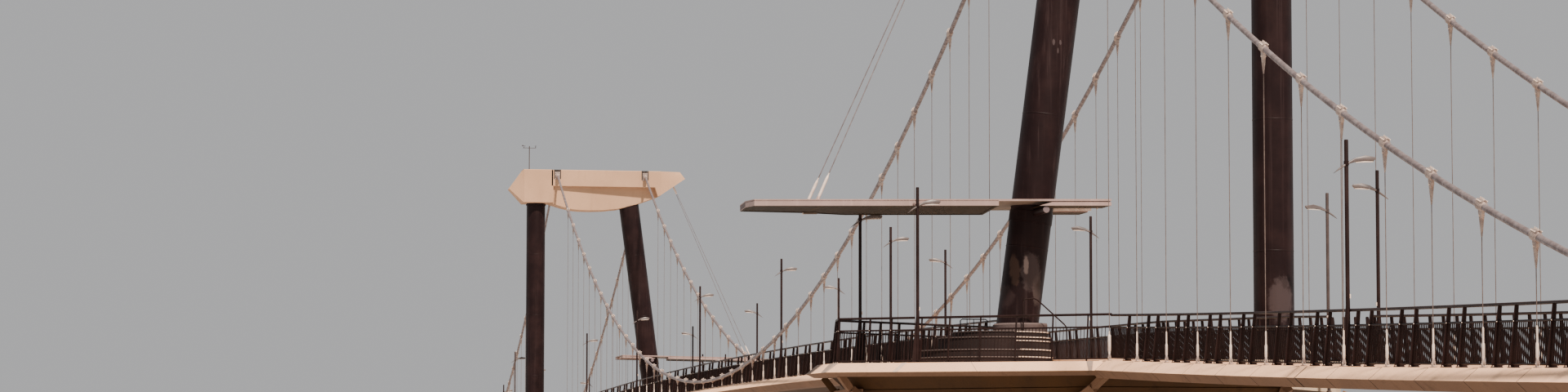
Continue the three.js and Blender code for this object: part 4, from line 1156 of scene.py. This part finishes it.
def full_post():
    """A post with its shoe, its bolts and the clips that hold the rails."""
    build = plate_post()
    build.box((-5, -9, 0.3), (5, 20, 2.2), 0, 0.4)
    build.across([(8, 2), (19, 2), (17, 9), (8, 11)], -1.6, 1.6)
    for x in (-3.4, 3.4):
        for y in (-6, 15):
            build.bolt((x, y, 2), (1.4, 1.6), (0.8, 2.6))
    middle = lean_at(MID_RAIL)
    build.box((-2.6, middle - 4, MID_RAIL - 6.5), (2.6, middle + 4, MID_RAIL + 0.4))
    build.lathe([(1.4, -5.6), (1.4, 5.6)], (0, middle, MID_RAIL - 3), (0, 1, 0), 6, 1)
    low = lean_at(LOW_RAIL)
    build.box((-2.4, low - 3, LOW_RAIL - 5), (2.4, low + 3, LOW_RAIL + 0.3))
    return build


def picket():
    build = Build()
    bands = [(lean_at(z) - 1.3, lean_at(z) + 1.3, z) for z in (LOW_RAIL - 1, MID_RAIL - 2)]
    build.taper(0.5, bands, caps=(False, False))
    return build


def lamp(height=LAMP_HEIGHT, base=True):
    """A lamp post. Its own x runs along the railing, y inwards and z up."""
    build = Build()
    y = lean_at(RAIL_HEIGHT) / 2
    build.lathe([(5, 0.3), (5, 60), (4.9, height - 2), (4.2, height)], (0, y, 0), sides=16)
    build.lathe([(8, 0.3), (8, 2.5), (6, 4)], (0, y, 0), sides=16)
    blade = Build()
    blade.across(BLADE, -4.6, 4.6, 1.2, 2)
    blade.across([(22, -43.4), (64, -41.6), (64, -38), (22, -40)], -3.6, 3.6, 0, 1)
    build.stamp(blade, [0, y, height - LAMP_TIP])
    build.lathe([(6.2, -5), (6.2, 5)], (0, y, height - 45 - LAMP_TIP), sides=16)
    if base:
        build.taper(1.5, ((-12, 12, 0.3), (-11, 12, 12), (2.2, 11, 150), (3.2, 10, 163)))
        build.box((-8, -13, 0.3), (8, 14, 2.4), 0, 0.4)
        build.box((-1.8, 10, 158), (1.8, 13, 168), 1)
    return build


def basis_of(inward):
    return np.column_stack([np.cross(inward, [0, 0, 1]), inward, [0, 0, 1]])


def straight_railing(side, x0, x1, height_at, posts, lamps, missing=None, first_post=True):
    build = Build()
    inward = np.array([0, -side, 0.0])
    basis = basis_of(inward)

    def feet(xs):
        xs = np.asarray(xs, float)
        return np.column_stack([xs, np.full(len(xs), side * RAIL_FOOT_Y), height_at(xs)])

    for height, radius, sides in RAILS:
        stretches = [(x0, x1)]
        if missing and height == RAIL_HEIGHT:
            stretches = [(x0, missing[0]), (missing[1], x1)]
        for a, b in stretches:
            path = feet(np.linspace(a, b, max(2, int((b - a) / 150) + 1)))
            build.tube(path + inward * lean_at(height) + [0, 0, height - radius], radius, sides)
    places = [p for p in posts if x0 + 2 < p < x1 - 2 and all(abs(p - x) > LAMP_ROOM for x in lamps)]
    outer = [x0 + 1.5, x1 - 1.5] if first_post else [x1 - 1.5]
    build.stamp(full_post(), feet(places + outer), basis)
    count = int((x1 - x0) / PICKET_PITCH)
    build.stamp(picket(), feet(x0 + (np.arange(count) + 0.5) * PICKET_PITCH), basis)
    build.stamp(lamp(), feet(lamps), basis)
    return build


def post_pairs(first, many):
    """Two posts in each hanger bay."""
    hangers_at = [first + i * HANGER_PITCH for i in range(many)]
    return [x + offset for offset in POST_OFFSETS for x in hangers_at]


def make_railings():
    end = HALF_SPAN - TOWER_DECK - 6
    posts = post_pairs(MAIN_FIRST_HANGER - HALF_SPAN, 2 * MAIN_HANGERS)
    for name, side in (("left", 1), ("right", -1)):
        lamps = [side * (i * LAMP_PITCH - LAMP_FIRST) for i in range(MAIN_LAMPS)]
        railing = straight_railing(side, -end, end, main_deck_height, posts, lamps)
        nodes = ["railing_main_" + name]
        shown(railing, "main_railing_" + name, RAIL_LOOKS, nodes, middle=True, smooth=50)
    start, end = TOWER_DECK + 3, SIDE_SPAN - 8
    posts = [SIDE_FIRST_HANGER + i * POST_PITCH for i in range(-14, 45)]
    for which, missing in (("a", MISSING_RAIL), ("b", None)):
        railing = straight_railing(1, 6 - start, end, side_zone_height, posts, LEFT_SIDE_LAMPS, missing)
        if missing:
            open_ends(railing)
        nodes = ["railing_side_left"]
        shown(railing, "side_railing_left", RAIL_LOOKS, nodes, ends=which, smooth=50)
    posts = post_pairs(SIDE_FIRST_HANGER, SIDE_HANGERS)[1:]
    railing = straight_railing(-1, start, end, deck_height, posts, RIGHT_SIDE_LAMPS, first_post=False)
    shown(railing, "side_railing_right", RAIL_LOOKS, ["railing_side_right"], smooth=50)


def open_ends(build):
    """Where a stretch of top rail is gone: a turned-down end on each side, and a wide post."""
    y = RAIL_FOOT_Y - lean_at(RAIL_HEIGHT)
    top = RAIL_HEIGHT - RAILS[0][1]
    for x, radius, look, turn in TURNED_ENDS:
        build.tube(np.array(turn) + [x, y, float(deck_height(x)) + top], radius, 8, look)
    x = MISSING_RAIL[1]
    build.stamp(plate_post(24, 16, 3), (x, RAIL_FOOT_Y, float(deck_height(x))), basis_of([0, -1, 0]))


def lookout_rail(height):
    """The corners of the platform's railing at a height, moved in by its lean."""
    corners = [np.array(p, float) for p in LOOKOUT_RAIL]
    lines = []
    for p, q in zip(corners[:-1], corners[1:]):
        way = unit(q - p)
        lines.append((p + np.array([-way[1], way[0]]) * lean_at(height), way))
    # It ends on the line of the deck's railing
    across = (np.array([0, lean_at(height) - RAIL_FOOT_Y]), np.array([1.0, 0.0]))
    lines = [across] + lines + [across]
    path = []
    for (p, u), (q, v) in zip(lines[:-1], lines[1:]):
        x, y = q + v * np.cross(p - q, u) / np.cross(v, u)
        path.append(np.array([x, y, lookout_floor(x) + height * LOOKOUT_RISE]))
    return path


def at_y(p, q, y):
    """The place on the line from p to q that has this y."""
    return p + (q - p) * (y - p[1]) / (q[1] - p[1])


def make_lookout_railing():
    build = Build()
    for height, radius, sides in RAILS:
        line = lookout_rail(height - radius)
        paths = [line[:2], line[1:3], line[2:]]
        if height == RAIL_HEIGHT:
            # The top rail stops at the front lamp and starts again with a turned-down corner
            p, q = line[2:]
            way = unit(q - p)
            spot = at_y(p, q, LOOKOUT_LAMPS[2])
            turned = [spot + way * reach - [0, 0, drop] for reach, drop in ((17, 0), (11, 2.25), (9, 9))]
            paths[2:] = [[p, spot], [q] + turned]
        for path in paths:
            build.tube(path, radius, sides)
    post, slim_post = full_post(), plate_post(7, 6, 2.2)
    feet = lookout_rail(0)
    for p, q, posts, lamp_y in zip(feet[:-1], feet[1:], LOOKOUT_POSTS, LOOKOUT_LAMPS):
        way = unit(q - p)
        flat = unit([way[0], way[1]])
        tall = basis_of([-flat[1], flat[0], 0]) * [1, 1, LOOKOUT_RISE]
        front = lamp_y == LOOKOUT_LAMPS[2]
        if lamp_y is None:
            spots = [p + way * reach for reach in APEX_POSTS]
        else:
            spots = [at_y(p, q, y) for y in posts]
            height = LAMP_HEIGHT if front else LAMP_HEIGHT - BACK_LAMP_CUT
            build.stamp(lamp(height), [at_y(p, q, lamp_y)], basis_of([0, 1, 0]))
        for spot in spots:
            build.stamp(slim_post if front and spot[1] > lamp_y else post, [spot], tall)
        room = np.linalg.norm(q - p) - 16
        count = int(room / PICKET_PITCH)
        reaches = 8 + (np.arange(count) + 0.5) * room / count
        build.stamp(picket(), [p + way * reach for reach in reaches], tall)
    shown(build, "lookout_railing", RAIL_LOOKS, ["railing_lookout"], smooth=50)


def make_leg_lamp():
    build = Build()
    build.stamp(lamp(LEG_LAMP_TOP - PIER_TOP, base=False), LEG_LAMP, basis_of([0, -1, 0]))
    shown(build, "pier_lamp", [TRIM_PAINT, LENS, BLADE_PAINT], ["lamp_leg"])


def make_wind_sensor():
    build = Build()
    build.box((-12, -12, 0), (12, 12, 2.4), 0, 0.5)
    for x in (-8, 8):
        for y in (-8, 8):
            build.bolt((x, y, 2.4), (1.6, 1.6), (0.9, 3))
    build.lathe([(5, 2), (4, 8), (3, 10), (3, 164), (1, 166)], sides=12)
    build.tube([(0, -44, 152), (0, 44, 152)], 1.7, 8)
    build.lathe([(1.6, 0), (2.4, 3), (2.4, 8), (1.2, 12), (1.2, 15)], (0, -42, 152), sides=10)
    centre = np.array([0, -42, 166])
    for t in angles(3) + 0.4:
        arm = np.array([math.cos(t), math.sin(t), 0])
        build.tube([centre, centre + arm * 6], 0.6, 6)
        side = np.array([-arm[1], arm[0], 0])
        cup = [(0.6, 1.8), (1.6, 1.2), (2.1, 0), (1.7, 0.1), (0.5, 1.2)]
        build.lathe(cup, centre + arm * 6.2 - side * 0.5, side, 10)
    build.lathe([(1.6, 0), (2.2, 3), (2.2, 6), (1, 9), (1, 14)], (0, 36, 152), sides=10)
    build.across([(26, 163), (40, 165), (50, 162), (50, 171), (44, 171), (38, 167), (26, 166)], -0.6, 0.6)
    # It stands at the far end only, half a turn from the near one
    mast = Build()
    mast.stamp(build, [-HALF_SPAN, -SENSOR_Y, HEAD_TOP + 0.3], np.diag([-1, -1, 1]))
    shown(mast, "wind_mast", [TRIM_PAINT, BRIGHT_STEEL], ["wind_sensor"], middle=True)


make_decks()
make_lookout()
make_piers()
make_abutments()
make_legs()
make_seat()
make_crossheads()
make_canopy()
make_canopy_arm()
make_canopy_stays()
make_cables()
make_railings()
make_lookout_railing()
make_leg_lamp()
make_wind_sensor()


# Floor, light and camera


FLOOR_HALF = 300


def make_stage():
    corners = [(x * FLOOR_HALF, y * FLOOR_HALF, 0) for x, y in ((-1, -1), (1, -1), (1, 1), (-1, 1))]
    mesh = bpy.data.meshes.new("floor")
    mesh.from_pydata(corners, [], [(0, 1, 2, 3)])
    floor = placed("floor", mesh)
    look = Look("floor", roughness=0.9, specular=0.2)
    look.colour(look.mix(look.noise(0.4), (0.37, 0.37, 0.37), (0.4, 0.4, 0.4)))
    mesh.materials.append(look.material)


SUN_COLOUR = (1.0, 0.86, 0.74)
SUN_FROM = (0.5, 0.08, 0.86)
SUN_STRENGTH = 9.0
SUN_ANGLE = 3.5
SKY = (0.56, 0.56, 0.57)
SKY_STRENGTH = 0.85


def make_light():
    sun = bpy.data.lights.new("sun", "SUN")
    sun.energy = SUN_STRENGTH
    sun.angle = math.radians(SUN_ANGLE)
    sun.color = SUN_COLOUR
    placed("sun", sun).rotation_euler = Vector(SUN_FROM).to_track_quat("Z", "Y").to_euler()
    world = bpy.data.worlds.new("studio")
    world.use_nodes = True
    background = world.node_tree.nodes["Background"]
    background.inputs["Color"].default_value = (*SKY, 1)
    background.inputs["Strength"].default_value = SKY_STRENGTH
    bpy.context.scene.world = world


CAMERA_PLACE = (17.9256, -3.0130, 0.5078)
CAMERA_YAW = 9.788
CAMERA_PITCH = 4.458
CAMERA_ROLL = 0.081
CAMERA_LENS = 84.76


def make_camera():
    """The camera of the photograph, from a fit of the bridge to it."""
    yaw, pitch, roll = (math.radians(a) for a in (CAMERA_YAW, CAMERA_PITCH, CAMERA_ROLL))
    level_ahead = Vector((-math.cos(yaw), math.sin(yaw), 0))
    level_right = Vector((math.sin(yaw), math.cos(yaw), 0))
    level_up = Vector((0, 0, 1))
    ahead = level_ahead * math.cos(pitch) + level_up * math.sin(pitch)
    up = level_up * math.cos(pitch) - level_ahead * math.sin(pitch)
    right = level_right * math.cos(roll) + up * math.sin(roll)
    up = up * math.cos(roll) - level_right * math.sin(roll)
    data = bpy.data.cameras.new("camera")
    data.lens = CAMERA_LENS
    data.sensor_width = 36
    data.clip_start = 0.01
    data.clip_end = 1000
    camera = placed("camera", data)
    turn = Matrix((right, up, -ahead)).transposed().to_4x4()
    camera.matrix_world = Matrix.Translation(CAMERA_PLACE) @ turn
    bpy.context.scene.camera = camera


make_stage()
make_light()
make_camera()
